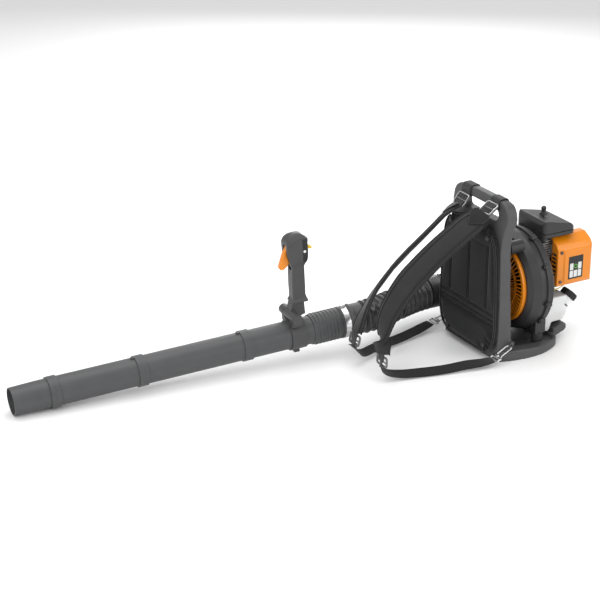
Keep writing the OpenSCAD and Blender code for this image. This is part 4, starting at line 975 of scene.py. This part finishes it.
shells = {
    "frameShell": {"nodes": ["frame"], "voxel": 0.0024, "passes": 3, "finish": framePlastic,
                   "slot": "frame_plastic"},
    "engineCoverShell": {"nodes": ["engine_cover"], "voxel": 0.0012, "passes": 18, "finish": orangePlastic,
                         "slot": "orange_plastic"},
    "filterCoverShell": {"nodes": ["filter_cover"], "voxel": 0.0014, "passes": 10, "finish": housingPlastic,
                         "slot": "dark_plastic"},
    "tankShell": {"nodes": ["fuel_tank"], "voxel": 0.0013, "passes": 14, "finish": tankFinish,
                  "slot": "tank_plastic"},
    "handleShell": {"nodes": ["handle_left", "handle_right"], "voxel": 0.0010, "passes": 5,
                    "finish": handlePlastic, "slot": "dark_plastic"},
    "triggerShell": {"nodes": ["throttle_trigger"], "voxel": 0.0009, "passes": 8, "finish": orangePlastic,
                     "slot": "orange_plastic"},
    "leverShell": {"nodes": ["cruise_lever"], "voxel": 0.0006, "passes": 6, "finish": yellowPlastic,
                   "slot": "yellow_plastic"},
}
bodyOf = {node: body for body, nodes in frame["record"]["behaviour"]["bodies"].items() for node in nodes}


def mouldedShell(name, shell):
    bm = bmesh.new()
    for node in shell["nodes"]:
        bm.from_mesh(frame["nodes"][node].data)
    bmesh.ops.remove_doubles(bm, verts=bm.verts, dist=0.00002)
    piece = placePiece(name, bm, shell["finish"], None)
    remesh = piece.modifiers.new("remesh", "REMESH")
    remesh.mode, remesh.voxel_size = "VOXEL", shell["voxel"]
    held = piece.evaluated_get(bpy.context.evaluated_depsgraph_get())
    mesh = bpy.data.meshes.new_from_object(held)
    piece.modifiers.remove(remesh)
    piece.data = mesh
    bm = bmesh.new()
    bm.from_mesh(mesh)
    for _ in range(shell["passes"]):
        bmesh.ops.smooth_vert(bm, verts=bm.verts, factor=0.5, use_axis_x=True, use_axis_y=True,
                              use_axis_z=True)
    bm.to_mesh(mesh)
    bm.free()
    mesh.shade_smooth()
    mesh.materials.clear()
    mesh.materials.append(shell["finish"])
    print(name, len(mesh.polygons) * 2, "triangles")
    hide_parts(*shell["nodes"])
    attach(piece, bodyOf[shell["nodes"][0]])


for name, shell in shells.items():
    mouldedShell(name, shell)
print("shells made")

# The label on the engine cover: a dark header over plain tiles and a ring, with nothing written on them

labelSizes = {"face": 0.08405, "rise": 0.0003, "left": 0.2605, "right": 0.3055, "bottom": 0.1805,
              "top": 0.2435, "header": 0.016, "gap": 0.0022, "corner": 0.0011, "ring": 0.0052}
labelGrey = moulded("labelGrey", (0.20, 0.215, 0.205), 0.34, 0.0006, 0.2, coat=0.3)
labelPale = moulded("labelPale", (0.66, 0.67, 0.65), 0.36, 0.0006, 0.15, coat=0.3)
labelGreen = moulded("labelGreen", (0.10, 0.42, 0.05), 0.36, 0.0006, 0.15, coat=0.3)


def card(bm, left, right, bottom, top, depth):
    face, rise = labelSizes["face"] + depth, labelSizes["rise"]
    place = Matrix.Translation((face + rise / 2, (left + right) / 2, (bottom + top) / 2))
    place = place @ Matrix.Diagonal((rise, right - left, top - bottom, 1))
    verts = bmesh.ops.create_cube(bm, size=1, matrix=place)["verts"]
    edges = [e for e in {e for v in verts for e in v.link_edges}
             if abs(e.verts[0].co.x - e.verts[1].co.x) > rise / 2]
    bmesh.ops.bevel(bm, geom=edges, offset=labelSizes["corner"], segments=4, affect="EDGES", profile=0.5)


def infoLabel():
    size = labelSizes
    left, right, bottom, top = size["left"], size["right"], size["bottom"], size["top"]
    bm = bmesh.new()
    card(bm, left, right, bottom, top - size["header"], 0)
    placePiece("labelField", bm, labelGrey, "backpack")
    wide = (right - left - 4 * size["gap"]) / 3
    tall = (top - size["header"] - bottom - 3 * size["gap"]) / 2
    bm, icons = bmesh.new(), bmesh.new()
    for row in range(2):
        for column in range(3):
            y = left + size["gap"] + column * (wide + size["gap"])
            z = bottom + size["gap"] + row * (tall + size["gap"])
            if (row, column) == (1, 1):
                middle = Vector((size["face"] + size["rise"], y + wide / 2, z + tall / 2))
                circle = [middle + Vector((0, math.cos(a), math.sin(a))) * size["ring"]
                          for a in (2 * math.pi * k / 40 for k in range(40))]
                tubeAlong(icons, circle, 0.0013, 8, (1, 0, 0), looped=True)
                continue
            card(bm, y, y + wide, z, z + tall, size["rise"])
    # A pale rule stands in the header.
    card(bm, left + 0.006, right - 0.006, top - 0.0098, top - 0.0066, 0)
    placePiece("labelTiles", bm, labelPale, "backpack")
    placePiece("labelRing", icons, labelGreen, "backpack")


infoLabel()
print("label made")

# Floor
bm = bmesh.new()
bmesh.ops.create_grid(bm, x_segments=1, y_segments=1, size=12)
floorMesh = bpy.data.meshes.new("floor")
bm.to_mesh(floorMesh)
bm.free()
floor = bpy.data.objects.new("floor", floorMesh)
bpy.context.scene.collection.objects.link(floor)
floorFinish = Finish("floorFinish")
floorTone = floorFinish.mixed(floorFinish.noise(0.5, 2), (0.93, 0.93, 0.93), (0.95, 0.95, 0.95))
floorFinish.set("Base Color", floorTone)
floorFinish.set("Roughness", 0.6)
floor.data.materials.append(floorFinish.material)
